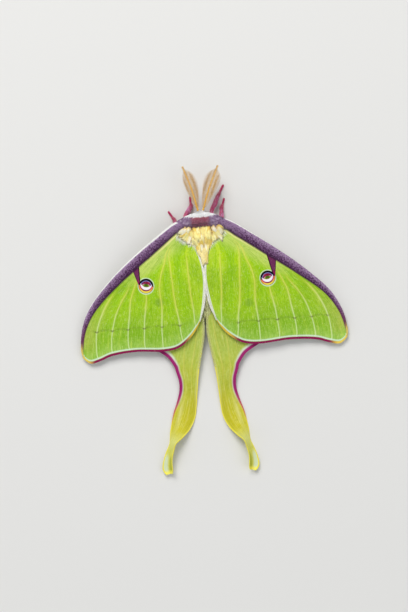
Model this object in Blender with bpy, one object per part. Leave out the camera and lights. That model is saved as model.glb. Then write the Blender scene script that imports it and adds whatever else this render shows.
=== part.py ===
# Luna moth at rest, life size, with its wings spread flat and its feet on the floor.
#
# Sizes are millimetres; MM turns the finished meshes into Blender's metres.
# The moth is drawn with +Y towards its head, x = 0 on its midline and z = 0 on the floor.
# At the end it is shifted so that the centre of its bounding box stands over the origin.
# The wings are drawn once, for the mean of both sides, and each side then has its own span,
# costal bow and hindwing turn, because the moth doesn't hold its two sides quite alike.

import math
import random

import bmesh
import bpy
import numpy as np
from mathutils import Matrix, Vector

MM = 0.001
RIGHT, LEFT = 1, -1
SIDE_NAME = {RIGHT: "right", LEFT: "left"}
GAP = 0.3

# Body: half width, half height and centre height of the cross-section at places along Y.
THORAX_SECTIONS = [
    (4.5, 1.9, 1.5, 4.9),
    (3.4, 2.8, 2.3, 5.0),
    (1.8, 3.8, 3.3, 5.4),
    (-0.8, 4.3, 3.9, 5.5),
    (-3.4, 3.9, 3.3, 4.9),
    (-5.4, 3.3, 2.6, 4.2),
]
# Wool of the thorax: rows of flat locks, and the shoulder tufts over the roots of the wings.
WOOL_SEED = 4
WOOL_ROWS = [
    (2.6, 2.4, 2.6), (1.6, 3.3, 3.4), (0.6, 3.4, 3.8), (-0.8, 3.0, 3.8), (-2.2, 2.3, 3.9), (-3.6, 1.5, 4.3),
]
WOOL_PITCH = 1.75
WOOL_MEETS_Y = -10.5
SHOULDER_PLACES = [(2.4, 2.05), (2.9, 1.9), (3.4, 1.6), (3.5, 0.5), (3.4, -0.6)]
SHOULDER_HEADINGS = (-10, -30, -52, -68, -86)
SHOULDER_LENGTHS = (3.3, 4.0, 4.3, 4.3, 4.0)
LOCK_HALF_WIDTH = 0.85
LOCK_HALF_THICKNESS = 0.3
LOCK_SUNK = 0.8
LOCK_WIDTHS = (0.85, 1.0, 0.72, 0.14)
LOCK_TIP_THICKNESS = 0.65
LOCK_CROWN = 0.35
ABDOMEN_SECTIONS = [
    (-5.7, 3.2, 2.6, 4.2),
    (-9.0, 3.5, 2.8, 3.8),
    (-13.0, 3.2, 2.6, 3.2),
    (-17.0, 2.4, 2.0, 2.5),
    (-19.6, 1.4, 1.3, 1.9),
    (-20.8, 0.5, 0.5, 1.6),
]
ABDOMEN_RINGS = 7
ABDOMEN_FOLD = 0.16
HEAD_CENTRE = Vector((0.4, 5.75, 4.5))
HEAD_RADII = Vector((2.0, 1.95, 1.85))
NECK_Y = 4.8
EYE_RADIUS = 0.95
EYE_SPREAD = 1.95
PALP_START = Vector((0.62, 1.75, -1.55))
PALP_REACH = Vector((0, 0.7, -1.0))
PALP_RADIUS = 0.38
COLLAR_PATH = [
    (-6.4, 3.6, 7.6), (-4.5, 4.5, 7.95), (-2.4, 5.1, 8.25), (0.2, 5.4, 8.35), (2.8, 5.1, 8.25),
    (4.7, 4.5, 7.95), (6.4, 3.6, 7.6),
]
COLLAR_END = (4.88, 4.12)
COLLAR_END_FACING = (0.93, -0.37)
COLLAR_HALF_DEPTH = (1.3, 1.95)
COLLAR_HALF_HEIGHT = (1.0, 1.25)

# Wings
WING_THICKNESS = 0.5
RIDGE_TOP = 0.22
RIDGE_UNDER = 0.1
RIDGE_HALF_WIDTH = 0.45
WIDE_MEMBRANE = 2.8
HALF_SPAN = 41.7
SPAN = {RIGHT: 1.036, LEFT: 0.962}
COSTA_BOW = {RIGHT: -0.5, LEFT: 0.6}
ROOF_LOW = 1.4
ROOF_RIDGE = [(6.0, 8.1), (-5.0, 8.1), (-13.0, 7.6), (-22.0, 5.6), (-34.0, 3.7), (-42.0, 3.2)]
ROOF_SLOPE = 0.62

FOREWING_COSTA = [
    (5.8, 5.25), (9.3, 3.8), (14.3, 0.4), (22.1, -5.3), (29.7, -11.6), (36.8, -18.9),
    (40.4, -25.6), (41.6, -31.8), (41.2, -35.1),
]
FOREWING_OUTER = [
    (41.2, -35.1), (38.9, -36.75), (35.6, -36.1), (31.5, -34.8), (24.0, -34.2), (15.5, -34.75),
    (10.3, -34.1), (6.4, -31.6), (4.0, -28.9), (2.5, -26.3),
]
FOREWING_INNER = [
    (2.3, -4.2), (1.75, -5.6), (1.1, -7.2), (0.55, -9.6), (0.25, -14.0), (0.8, -19.8), (2.5, -26.3),
]
FOREWING_ROOT_PLACES = (1.0, -0.4, -1.8, -3.0)
COSTAL_BAND = [(0.0, 2.4), (0.25, 3.5), (0.5, 3.9), (0.72, 3.0), (0.86, 1.7), (0.94, 0.9), (1.0, 0.6)]
COSTAL_SHARES = (0.0, 0.25, 0.6, 0.88)
COSTAL_PROFILE = (0.35, 0.9, 1.0, 0.45)
COSTAL_SWELL = [(0, 1.3), (0.15, 1.1), (0.6, 0.85), (0.9, 0.35), (1, 0.1)]
COSTAL_BULGE_TOP = 0.65
COSTAL_BULGE_UNDER = 0.2
# Each vein: where its ridge starts along the wing, and its place across the wing (0 at the
# costal band, 1 at the inner margin) at places along it (0 at the root, 1 at the outer margin).
FOREWING_VEINS = [
    (0.52, [(0, 0.04), (0.25, 0.02), (0.55, 0.025), (0.75, 0.075), (0.9, 0.112), (1, 0.128)]),
    (0.47, [(0, 0.08), (0.25, 0.045), (0.42, 0.06), (0.55, 0.133), (0.79, 0.218), (1, 0.245)]),
    (0.14, [(0, 0.13), (0.2, 0.08), (0.4, 0.105), (0.57, 0.22), (0.76, 0.33), (1, 0.376)]),
    (0.5, [(0, 0.18), (0.2, 0.12), (0.42, 0.18), (0.58, 0.375), (0.8, 0.465), (1, 0.495)]),
    (0.12, [(0, 0.25), (0.17, 0.19), (0.385, 0.345), (0.48, 0.455), (0.71, 0.57), (1, 0.63)]),
    (0.14, [(0, 0.42), (0.13, 0.34), (0.26, 0.36), (0.405, 0.557), (0.64, 0.688), (1, 0.78)]),
    (0.12, [(0, 0.66), (0.13, 0.61), (0.35, 0.75), (0.56, 0.833), (0.8, 0.893), (1, 0.92)]),
]
FOREWING_ROWS = 14

HINDWING_DROP = 1.2
HINDWING_PIVOT = (4.0, -3.5)
HINDWING_TURN = {RIGHT: -2.4, LEFT: 2.4}
HINDWING_COSTA = [(10.5, -3.4), (17.0, -7.5), (22.8, -13.0), (26.2, -19.0)]
HINDWING_OUTER = [
    (26.2, -19.0), (26.6, -23.0), (24.6, -27.6), (20.6, -31.7), (15.9, -34.6), (12.3, -37.0),
    (10.2, -40.0), (9.85, -41.0), (6.1, -41.0), (2.35, -41.0),
]
HINDWING_INNER = [
    (4.4, -8.5), (4.0, -13.0), (3.0, -17.4), (1.5, -21.4), (0.5, -25.0),
    (0.35, -29.0), (0.85, -33.3), (2.35, -41.0),
]
HINDWING_ROOT_PLACES = (-1.8, -3.0, -4.2, -5.2)
HINDWING_ROOT_SLANT = 0.3
HINDWING_VEINS = [
    (0.1, [(0, 0.16), (1, 0.14)]),
    (0.1, [(0, 0.36), (1, 0.36)]),
    (0.1, [(0, 0.91), (1, 0.93)]),
]
HINDWING_CORNERS = [(15.9, -34.6), (12.3, -37.0), (10.4, -39.6), (9.85, -41.0)]
HINDWING_ROWS = 15

# Tail of the mean hindwing: y, x, half width as seen from above, roll in degrees, centre height.
TAIL_STATIONS = [
    (-41.3, 6.05, 3.62, 0, None),
    (-44.5, 5.9, 3.02, 2, 1.45),
    (-48.0, 6.1, 2.85, 3, 0.75),
    (-51.8, 6.75, 3.15, 2, 0.28),
    (-55.2, 7.6, 3.45, 0, 0.25),
    (-58.4, 8.8, 3.1, 8, 0.6),
    (-61.4, 10.3, 2.1, 32, 1.45),
    (-63.8, 11.55, 1.15, 60, 2.0),
    (-66.2, 12.3, 1.2, 52, 1.9),
    (-68.8, 12.95, 1.5, 38, 1.6),
    (-71.3, 13.1, 1.55, 30, 1.35),
    (-73.4, 12.6, 1.3, 24, 1.2),
]
TAIL_VEINS = (-0.45, 0.3)
TAIL_ROWS = 21

# Antennae: place of each end relative to the head, and the feather's greatest half width.
ANTENNA_BASE_HALF = 0.75
ANTENNA_BASE_FORWARD = 2.0
ANTENNA_BASE_UP = 0.8
ANTENNA_TIP = {RIGHT: (6.9, 21.4, 5.3), LEFT: (-4.15, 21.9, 5.3)}
ANTENNA_ARCH = 0.9
ANTENNA_OUTLINE = [
    (0.0, 0.3), (0.1, 0.6), (0.2, 1.1), (0.35, 1.9), (0.5, 2.6), (0.62, 2.75), (0.75, 2.3),
    (0.88, 1.3), (1.0, 0.35),
]
ANTENNA_SHAFT_RADIUS = 0.33
ANTENNA_BRANCHES = 13
BRANCH_ANGLE = 52
BRANCH_HALF_WIDTH = 0.34
BRANCH_HALF_THICKNESS = 0.27
BRANCH_RISE = 0.22

# Legs: hip, knee, ankle and toe, seen from above, with the heights of the knee and ankle.
LEGS = {
    ("front", RIGHT): [(2.0, 2.2), (3.9, 7.5), (6.3, 12.3), (8.2, 15.6)],
    ("front", LEFT): [(-1.8, 2.2), (-4.3, 6.6), (-2.5, 9.6), (-2.5, 12.7)],
    ("mid", RIGHT): [(2.7, -0.4), (6.6, 2.6), (7.0, 8.2), (8.1, 11.4)],
    ("mid", LEFT): [(-2.7, -0.4), (-7.0, 0.6), (-7.9, 5.6), (-9.7, 8.7)],
    ("hind", RIGHT): [(2.6, -3.2), (7.2, -6.4), (10.4, -10.4), (12.2, -13.8)],
    ("hind", LEFT): [(-2.6, -3.2), (-7.0, -6.8), (-10.0, -11.2), (-12.0, -14.4)],
}
KNEE_HEIGHT = 2.5
FEMUR_BOW = 0.45
ANKLE_HEIGHT = 0.75
HIP_RADIUS = 0.75
HIP_SUNK = 1.2
FEMUR_RADIUS = 0.56
TIBIA_RADIUS = 0.54
TARSUS_RADIUS = 0.29
TOE_RADIUS = 0.26
TOE_SUNK = 0.05
LEG_STATIONS = 16

MATERIALS = {
    "wing_green": ((0.30, 0.52, 0.05), 0.6),
    "tail_yellow": ((0.52, 0.52, 0.08), 0.6),
    "body_white": ((0.85, 0.82, 0.66), 0.9),
    "thorax_cream": ((0.83, 0.70, 0.30), 0.9),
    "collar_purple": ((0.20, 0.07, 0.15), 0.85),
    "leg_pink": ((0.26, 0.06, 0.14), 0.8),
    "antenna_tan": ((0.55, 0.38, 0.13), 0.75),
    "eye_dark": ((0.02, 0.012, 0.01), 0.25),
}


def clear_scene():
    for obj in list(bpy.data.objects):
        bpy.data.objects.remove(obj)


def material(slot):
    """The named material, made on first use: colour and roughness from the table above."""
    made = bpy.data.materials.get(slot)
    if made is None:
        colour, roughness = MATERIALS[slot]
        made = bpy.data.materials.new(slot)
        made.use_nodes = True
        shader = made.node_tree.nodes["Principled BSDF"]
        shader.inputs["Base Color"].default_value = (*colour, 1.0)
        shader.inputs["Roughness"].default_value = roughness
        shader.inputs["Metallic"].default_value = 0.0
    return made


def with_lengths(dense, spatial=3):
    """A curve as its points and the fraction of its length at each, from its first columns."""
    steps = np.linalg.norm(np.diff(dense[:, :spatial], axis=0), axis=1)
    lengths = np.concatenate([[0], np.cumsum(steps)])
    return dense, lengths / lengths[-1]


def curve_through(points, samples=400):
    """A smooth curve through points, whose columns past the third are values carried along."""
    points = np.array(points, float)
    ends = np.vstack([2 * points[0] - points[1], points, 2 * points[-1] - points[-2]])
    dense = []
    spans = len(points) - 1
    per_span = max(2, samples // spans)
    for i in range(spans):
        before, start, end, after = ends[i : i + 4]
        for t in np.linspace(0, 1, per_span, endpoint=i == spans - 1):
            dense.append(
                0.5
                * (
                    2 * start
                    + (end - before) * t
                    + (2 * before - 5 * start + 4 * end - after) * t**2
                    + (3 * start - before - 3 * end + after) * t**3
                )
            )
    return with_lengths(np.array(dense))


def along(curve, fraction):
    """The point at a fraction, or at each of several fractions, of a curve's length."""
    dense, fractions = curve
    return np.stack([np.interp(fraction, fractions, dense[:, k]) for k in range(dense.shape[1])], -1)


def interpolate(table, value):
    """Linear reading of a table of (place, value) pairs, in either order of place."""
    places, values = zip(*sorted(table))
    return np.interp(value, places, values)


def new_object(name, points, faces, slot):
    """A mesh object of one material from points in millimetres."""
    mesh = bpy.data.meshes.new(name)
    mesh.from_pydata([tuple(map(float, p)) for p in points], [], faces)
    mesh.update()
    mesh.materials.append(material(slot))
    obj = bpy.data.objects.new(name, mesh)
    bpy.context.scene.collection.objects.link(obj)
    return obj


def outward(obj):
    """Turns a closed mesh's faces to point out."""
    shape = bmesh.new()
    shape.from_mesh(obj.data)
    bmesh.ops.recalc_face_normals(shape, faces=shape.faces)
    shape.to_mesh(obj.data)
    shape.free()


def plate(name, top, under, slot):
    """A closed plate between two grids of points, split into triangles alike on both faces."""
    rows, columns, _ = top.shape
    points = np.concatenate([top.reshape(-1, 3), under.reshape(-1, 3)])
    below = rows * columns

    def at(i, j, offset=0):
        return offset + i * columns + j

    faces = []
    for i in range(rows - 1):
        for j in range(columns - 1):
            a, b, c, d = at(i, j), at(i, j + 1), at(i + 1, j + 1), at(i + 1, j)
            faces += [(a, c, b), (a, d, c)]
            faces += [(a + below, b + below, c + below), (a + below, c + below, d + below)]
    rim = [at(0, j) for j in range(columns)]
    rim += [at(i, columns - 1) for i in range(1, rows)]
    rim += [at(rows - 1, j) for j in range(columns - 2, -1, -1)]
    rim += [at(i, 0) for i in range(rows - 2, 0, -1)]
    for a, b in zip(rim, rim[1:] + rim[:1]):
        faces += [(a, b, b + below), (a, b + below, a + below)]
    obj = new_object(name, points, faces, slot)
    outward(obj)
    return obj


def roof(x, y):
    """Height of the middle of the forewings over a place on the floor: a low, cambered tent."""
    ridge = interpolate(ROOF_RIDGE, y)
    reach = np.abs(x) / HALF_SPAN
    fall = 1 - ROOF_SLOPE * reach - (1 - ROOF_SLOPE) * reach**2
    return ROOF_LOW + (ridge - ROOF_LOW) * fall


def smooth_reading(table, value):
    """Reading of a table of (place, value) pairs along a smooth curve through them."""
    dense, _ = curve_through(table)
    return np.interp(value, dense[:, 0], dense[:, 1])


def section_at(sections, y):
    """Half width, half height and centre height of a body at a place along it."""
    dense, _ = curve_through(sections)
    return [np.interp(-y, -dense[:, 0], dense[:, k]) for k in (1, 2, 3)]


def beside_thorax(y, z):
    """Distance from the midline at which something at this height clears the thorax by the gap."""
    half_width, half_height, centre = section_at(THORAX_SECTIONS, y)
    share = np.clip((z - centre) / (half_height + GAP), -0.98, 0.98)
    return (half_width + GAP) * np.sqrt(1 - share**2)


def root_line(places, drop, slant, start=(), end=()):
    """The root of a wing whose middle hangs a drop below the roof: a gap outside the thorax.

    The slant takes its front end further from the thorax than its back end.
    """
    line = list(start)
    for y in places:
        under = roof(4.0, y) - drop - WING_THICKNESS / 2 - COSTAL_BULGE_UNDER
        line.append((float(beside_thorax(y, under)) + slant * (y - places[-1]), y))
    return curve_through(line + list(end))


def patch(sides, u, v):
    """Points of the patch between four curves: root to margin along u, front to back along v."""
    front, back, root, outer = sides
    u, v = np.broadcast_arrays(u, v)
    a, b = u[..., None], v[..., None]
    ruled = (1 - b) * along(front, u) + b * along(back, u) + (1 - a) * along(root, v) + a * along(outer, v)
    corners = (1 - a) * ((1 - b) * along(root, 0.0) + b * along(root, 1.0))
    corners += a * ((1 - b) * along(outer, 0.0) + b * along(outer, 1.0))
    return ruled - corners


def wing_grid(sides, veins, rows, corners=()):
    """Grid of plan points whose columns follow the veins, and each point's share of a ridge.

    Each vein has a foot on both sides of its crest, and each wide membrane between two lines
    has one column in its middle. Corners are places on the outer margin with their own column.
    """
    u = np.linspace(0, 1, rows + 1)
    none = np.zeros(rows + 1)
    lines = [(none, None), (none + 1, None)]
    lines += [(smooth_reading(table, u), start) for start, table in veins]
    dense, fractions = sides[3]
    for corner in corners:
        place = fractions[np.argmin(np.linalg.norm(dense - np.array(corner), axis=1))]
        lines.append((none + place, None))
    lines.sort(key=lambda line: line[0][-1])
    step = 1e-3
    columns, ridges = [], []
    for k, (v, start) in enumerate(lines):
        if k:
            before = lines[k - 1][0]
            apart = np.linalg.norm(patch(sides, u, v) - patch(sides, u, before), axis=1)
            if apart.max() > WIDE_MEMBRANE:
                columns.append((before + v) / 2)
                ridges.append(none)
        if start is None:
            columns.append(v)
            ridges.append(none)
            continue
        width = np.linalg.norm(patch(sides, u, v + step) - patch(sides, u, v - step), axis=1) / (2 * step)
        foot = RIDGE_HALF_WIDTH / width
        behind = np.minimum(foot, 0.3 * (v - lines[k - 1][0]))
        ahead = np.minimum(foot, 0.3 * (lines[k + 1][0] - v))
        height = np.clip((u - start) / 0.08, 0, 1) * np.clip((1 - u) / 0.04, 0, 1)
        columns += [v - behind, v, v + ahead]
        ridges += [none, height, none]
    v = np.stack(columns, 1)
    return patch(sides, u[:, None], v), np.stack(ridges, 1)


def from_point(curve, point):
    """The rest of a curve from the place nearest to a point, starting at the point itself."""
    dense, _ = curve
    nearest = int(np.argmin(np.linalg.norm(dense - point, axis=1)))
    return with_lengths(np.vstack([[point], dense[nearest + 1 :]]))


def forewing(side):
    """The forewing over the hindwing: rolled costal band, seven vein ridges, hooked tip."""
    rows = np.linspace(0, 1, FOREWING_ROWS + 1)
    fractions = np.linspace(0, 1, 201)
    edge = along(curve_through(FOREWING_COSTA), fractions)
    heading = np.gradient(edge, axis=0)
    heading /= np.linalg.norm(heading, axis=1, keepdims=True)
    inward = np.stack([heading[:, 1], -heading[:, 0]], 1)
    band = interpolate(COSTAL_BAND, fractions)[:, None]
    front = (edge + inward * band, fractions)
    root = root_line(FOREWING_ROOT_PLACES, 0, 0, FOREWING_COSTA[:1], FOREWING_INNER[:1])
    root = from_point(root, front[0][0])
    outer = from_point(curve_through(FOREWING_OUTER), front[0][-1])
    sides = (front, curve_through(FOREWING_INNER), root, outer)
    plan, ridge = wing_grid(sides, FOREWING_VEINS, FOREWING_ROWS)
    roll = [along((edge + inward * band * share, fractions), rows) for share in COSTAL_SHARES]
    plan = np.concatenate([np.stack(roll, 1), plan], 1)
    ridge = np.concatenate([np.zeros((FOREWING_ROWS + 1, len(roll))), ridge], 1)
    bulge = np.zeros_like(ridge)
    swell = interpolate(COSTAL_SWELL, rows)
    for column, share in enumerate(COSTAL_PROFILE):
        bulge[:, column] = share * swell
    # The bow moves the leading edge and fades out towards the inner margin.
    outward_from_edge = -along((inward, fractions), rows)
    fade = np.linspace(1, 0, plan.shape[1]) ** 2
    bow = COSTA_BOW[side] * np.sin(math.pi * rows)[:, None] * fade
    plan = plan + bow[..., None] * outward_from_edge[:, None, :]
    x = plan[..., 0] * np.interp(plan[..., 0], [4, 12], [1, SPAN[side]])
    y = plan[..., 1]
    middle = roof(x, y)
    top = middle + WING_THICKNESS / 2 + RIDGE_TOP * ridge + COSTAL_BULGE_TOP * bulge
    under = middle - WING_THICKNESS / 2 - RIDGE_UNDER * ridge - COSTAL_BULGE_UNDER * bulge
    return plate(
        f"forewing_{SIDE_NAME[side]}",
        np.stack([side * x, y, top], -1),
        np.stack([side * x, y, under], -1),
        "wing_green",
    )


def turned(x, y, side):
    """Plan point of the mean hindwing turned about its root to where this side holds it."""
    angle = math.radians(HINDWING_TURN[side])
    dx, dy = x - HINDWING_PIVOT[0], y - HINDWING_PIVOT[1]
    return (
        HINDWING_PIVOT[0] + dx * math.cos(angle) - dy * math.sin(angle),
        HINDWING_PIVOT[1] + dx * math.sin(angle) + dy * math.cos(angle),
    )


def hindwing(side):
    """The hindwing under the forewing, down to the thin cut where its tail begins."""
    root = root_line(HINDWING_ROOT_PLACES, HINDWING_DROP, HINDWING_ROOT_SLANT)
    costa = curve_through([tuple(root[0][0]), *HINDWING_COSTA])
    outer = curve_through(HINDWING_OUTER)
    inner = curve_through([tuple(root[0][-1]), *HINDWING_INNER])
    sides = (costa, inner, root, outer)
    plan, ridge = wing_grid(sides, HINDWING_VEINS, HINDWING_ROWS, HINDWING_CORNERS)
    x, y = turned(plan[..., 0], plan[..., 1], side)
    middle = roof(x, y) - HINDWING_DROP
    top = middle + WING_THICKNESS / 2 + 0.8 * RIDGE_TOP * ridge
    under = middle - WING_THICKNESS / 2 - RIDGE_UNDER * ridge
    return plate(
        f"hindwing_{SIDE_NAME[side]}",
        np.stack([side * x, y, top], -1),
        np.stack([side * x, y, under], -1),
        "wing_green",
    )


def tail(side):
    """The long tail: a ribbon that lies on the floor, then turns on edge and cups at its end."""
    stations = np.array([[s[1], s[0], s[2], s[3]] for s in TAIL_STATIONS], float)
    x, y = turned(stations[:, 0], stations[:, 1], side)
    height = np.array([0 if s[4] is None else s[4] for s in TAIL_STATIONS], float)
    height[0] = roof(x[0], y[0]) - HINDWING_DROP
    path = curve_through(np.stack([x, y, height, stations[:, 2], stations[:, 3]], 1))
    places = along(path, np.linspace(0, 1, TAIL_ROWS + 1))
    across = np.array([-1, -0.7, TAIL_VEINS[0], -0.2, 0.05, TAIL_VEINS[1], 0.6, 1.0])
    crest = np.isin(across, TAIL_VEINS).astype(float)
    centre = places[:, :3]
    forward = np.gradient(centre, axis=0)
    forward /= np.linalg.norm(forward, axis=1, keepdims=True)
    next_x, next_y = turned(stations[0, 0], stations[0, 1] - 1, side)
    forward[0] = (next_x - x[0], next_y - y[0], 0)
    level = np.cross(forward, (0, 0, 1.0))
    level *= -np.sign(level[:, :1])
    level /= np.linalg.norm(level, axis=1, keepdims=True)
    normal = np.cross(forward, level)
    normal *= np.sign(normal[:, 2:])
    roll = np.radians(places[:, 4])[:, None]
    lateral = level * np.cos(roll) + normal * np.sin(roll)
    upward = normal * np.cos(roll) - level * np.sin(roll)
    half = (places[:, 3] / np.cos(roll[:, 0]))[:, None]
    cup = 0.35 * np.clip((np.linspace(0, 1, TAIL_ROWS + 1) - 0.75) / 0.2, 0, 1)[:, None]
    fade = np.clip((1 - np.linspace(0, 1, TAIL_ROWS + 1)) / 0.15, 0, 1)[:, None]
    lift = cup * (across[None, :] ** 2) * half
    ridge = 0.7 * RIDGE_TOP * crest[None, :] * fade

    def face(offset):
        shift = (offset + lift)[..., None] * upward[:, None, :]
        points = centre[:, None, :] + (half * across)[..., None] * lateral[:, None, :] + shift
        points[..., 0] *= side
        points[..., 2] = np.maximum(points[..., 2], 0)
        return points

    # The grid's columns run from the outer edge to the inner one, like the wing's.
    top = face(WING_THICKNESS / 2 + ridge)[:, ::-1]
    under = face(np.full_like(ridge, -WING_THICKNESS / 2))[:, ::-1]
    return plate(f"tail_{SIDE_NAME[side]}", top, under, "tail_yellow")


def rings(name, loops, slot):
    """A closed body from loops of points with the same count, with a flat cap at each end."""
    count = len(loops[0])
    points = [p for loop in loops for p in loop]
    faces = []
    for i in range(len(loops) - 1):
        for k in range(count):
            a, b = i * count + k, i * count + (k + 1) % count
            faces.append((a, b, b + count, a + count))
    faces.append(tuple(reversed(range(count))))
    faces.append(tuple(range((len(loops) - 1) * count, len(loops) * count)))
    obj = new_object(name, points, faces, slot)
    outward(obj)
    return obj


def body_loops(sections, stations, sides, swell=None):
    """Elliptical loops along Y through the given sections, each swollen if there is a swell."""
    curve = curve_through([(y, centre, 0, wide, high) for y, wide, high, centre in sections])
    loops = []
    for k, station in enumerate(along(curve, np.linspace(0, 1, stations))):
        y, centre, _, half_width, half_height = station
        grow = 0 if swell is None else swell(k / (stations - 1))
        loop = []
        for turn in np.linspace(0, 2 * math.pi, sides, endpoint=False):
            loop.append(
                (
                    (half_width + grow) * math.cos(turn),
                    y,
                    centre + (half_height + grow) * math.sin(turn),
                )
            )
        loops.append(loop)
    return loops


def back_height(x, y):
    """Height of what a lock of wool lies on over a plan point: the thorax or the wings' roots."""
    half_width, half_height, centre = section_at(THORAX_SECTIONS, y)
    share = min(1.0, abs(x) / half_width)
    back = centre + half_height * math.sqrt(1 - share**2)
    wings = roof(x, y) + WING_THICKNESS / 2 + RIDGE_TOP + 1.3 * GAP
    wings += COSTAL_SWELL[0][1] * COSTAL_BULGE_TOP * np.clip((y - 0.2) / 1.5, 0, 1)
    over_wing = np.clip((abs(x) - 1.5) / 2.0, 0, 1)
    return back + over_wing * max(0.0, wings - back)


def lock(x, y, heading, length, half_width, meets=None):
    """A flat tapered lock that grows from the back and bends along it.

    It runs on its heading, or towards a point that its row's locks meet at.
    """
    points = []
    sections = len(LOCK_WIDTHS) - 1
    for share in np.linspace(0, 1, sections + 1):
        if meets is None:
            step = np.array([math.cos(math.radians(heading)), math.sin(math.radians(heading))])
        else:
            step = np.array(meets) - (x, y)
            step /= np.linalg.norm(step)
        plan = np.array((x, y)) + step * length * share
        lift = 0.25 * LOCK_HALF_THICKNESS + LOCK_CROWN * share * (1 - share)
        points.append(np.array([*plan, back_height(*plan) + LOCK_HALF_THICKNESS + lift]))
    points[0][2] = points[0][2] - LOCK_SUNK
    points = np.array(points)
    sideways, up = frame_along(points)
    loops = []
    for k, wide in enumerate(LOCK_WIDTHS):
        across = sideways[k] * half_width * wide
        above = up[k] * LOCK_HALF_THICKNESS * (1 - (1 - LOCK_TIP_THICKNESS) * k / sections)
        loops.append([points[k] - across, points[k] - above, points[k] + across, points[k] + above])
    return rings("lock", loops, "thorax_cream")


def wool():
    """The locks of the back, in rows that overlap like tiles, and the two shoulder tufts."""
    draw = random.Random(WOOL_SEED)
    locks = []
    for row, (y, half_width, length) in enumerate(WOOL_ROWS):
        count = max(2, round(2 * half_width / WOOL_PITCH)) + row % 2
        for k in range(count):
            x = half_width * (2 * (k + 0.5) / count - 1) + draw.uniform(-0.15, 0.15)
            meets = (0.25 * x, WOOL_MEETS_Y)
            size = length * draw.uniform(0.88, 1.1)
            wide = LOCK_HALF_WIDTH * draw.uniform(0.9, 1.1)
            locks.append(lock(x, y + draw.uniform(-0.2, 0.2), 0, size, wide, meets))
    for side in (LEFT, RIGHT):
        for (x, y), heading, length in zip(SHOULDER_PLACES, SHOULDER_HEADINGS, SHOULDER_LENGTHS):
            facing = heading if side == RIGHT else 180 - heading
            size = length * draw.uniform(0.9, 1.1)
            locks.append(lock(side * x, y, facing, size, LOCK_HALF_WIDTH))
    return locks


def thorax():
    """The thorax with its wool, parted from the head and the abdomen by thin cuts."""
    trunk = rings("thorax", body_loops(THORAX_SECTIONS, 12, 20), "thorax_cream")
    fuse(trunk, wool())
    return trunk


def room_for_thorax():
    """The thorax grown by the gap on every side, to cut out of what grows from it."""
    (front, *first), (back, *last) = THORAX_SECTIONS[0], THORAX_SECTIONS[-1]
    longer = [(front + GAP, *first), *THORAX_SECTIONS, (back - GAP, *last)]
    return rings("room", body_loops(longer, 14, 20, swell=lambda share: GAP), "thorax_cream")


def abdomen():
    """The plump abdomen with its seven rings, tapering to the tip under the wings."""
    last = ABDOMEN_RINGS * 3 + 1

    def fold(share):
        return -ABDOMEN_FOLD * (0.5 + 0.5 * math.cos(2 * math.pi * ABDOMEN_RINGS * share)) * (1 - share**4)

    return rings("abdomen", body_loops(ABDOMEN_SECTIONS, last, 16, swell=fold), "body_white")


def ball(name, centre, radii, slot, segments=16, rings_count=10):
    shape = bmesh.new()
    bmesh.ops.create_uvsphere(shape, u_segments=segments, v_segments=rings_count, radius=1)
    bmesh.ops.scale(shape, vec=radii, verts=shape.verts)
    bmesh.ops.translate(shape, vec=centre, verts=shape.verts)
    obj = new_object(name, [(0, 0, 0)], [], slot)
    shape.to_mesh(obj.data)
    shape.free()
    return obj


def cut(obj, point, normal):
    """Cuts away what lies on the normal's side of a plane and closes the mesh with a flat face."""
    shape = bmesh.new()
    shape.from_mesh(obj.data)
    geometry = list(shape.verts) + list(shape.edges) + list(shape.faces)
    bmesh.ops.bisect_plane(shape, geom=geometry, plane_co=point, plane_no=normal, clear_outer=True)
    bmesh.ops.holes_fill(shape, edges=[e for e in shape.edges if e.is_boundary])
    bmesh.ops.recalc_face_normals(shape, faces=shape.faces)
    shape.to_mesh(obj.data)
    shape.free()


def subtract(obj, cutter):
    """Cuts one mesh object out of another and removes the cutter."""
    modifier = obj.modifiers.new("room", "BOOLEAN")
    modifier.operation = "DIFFERENCE"
    modifier.object = cutter
    bpy.context.view_layer.objects.active = obj
    bpy.ops.object.modifier_apply(modifier=modifier.name)
    bpy.data.objects.remove(cutter)


def fuse(core, pieces, solver="EXACT"):
    """Joins pieces to the core in one union, and keeps its largest closed surface."""
    group = bpy.data.collections.new("pieces")
    bpy.context.scene.collection.children.link(group)
    for piece in pieces:
        bpy.context.scene.collection.objects.unlink(piece)
        group.objects.link(piece)
    union = core.modifiers.new("fused", "BOOLEAN")
    union.operation = "UNION"
    union.operand_type = "COLLECTION"
    union.collection = group
    union.solver = solver
    bpy.context.view_layer.objects.active = core
    bpy.ops.object.modifier_apply(modifier=union.name)
    for piece in pieces:
        bpy.data.objects.remove(piece)
    bpy.data.collections.remove(group)
    keep_largest(core)


def keep_largest(obj):
    """Removes every closed surface of a mesh but the one with the most faces."""
    shape = bmesh.new()
    shape.from_mesh(obj.data)
    left_over = set(shape.verts)
    surfaces = []
    while left_over:
        surface = set()
        front = [left_over.pop()]
        while front:
            vertex = front.pop()
            surface.add(vertex)
            near = {edge.other_vert(vertex) for edge in vertex.link_edges} & left_over
            left_over -= near
            front += near
        surfaces.append(surface)
    surfaces.sort(key=len)
    for surface in surfaces[:-1]:
        bmesh.ops.delete(shape, geom=list(surface), context="VERTS")
    shape.to_mesh(obj.data)
    shape.free()


def head():
    """The small head under the collar, flat where the neck meets the thorax, hollowed for the eyes."""
    skull = ball("head", HEAD_CENTRE, HEAD_RADII, "body_white")
    cut(skull, (0, NECK_Y, 0), (0, -1, 0))
    for side in (LEFT, RIGHT):
        subtract(skull, ball("room", eye_centre(side), (EYE_RADIUS + GAP,) * 3, "eye_dark"))
    subtract(skull, collar_body("room", GAP))
    return skull


def eye_centre(side):
    return HEAD_CENTRE + Vector((side * EYE_SPREAD, 0.35, -0.1))


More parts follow.
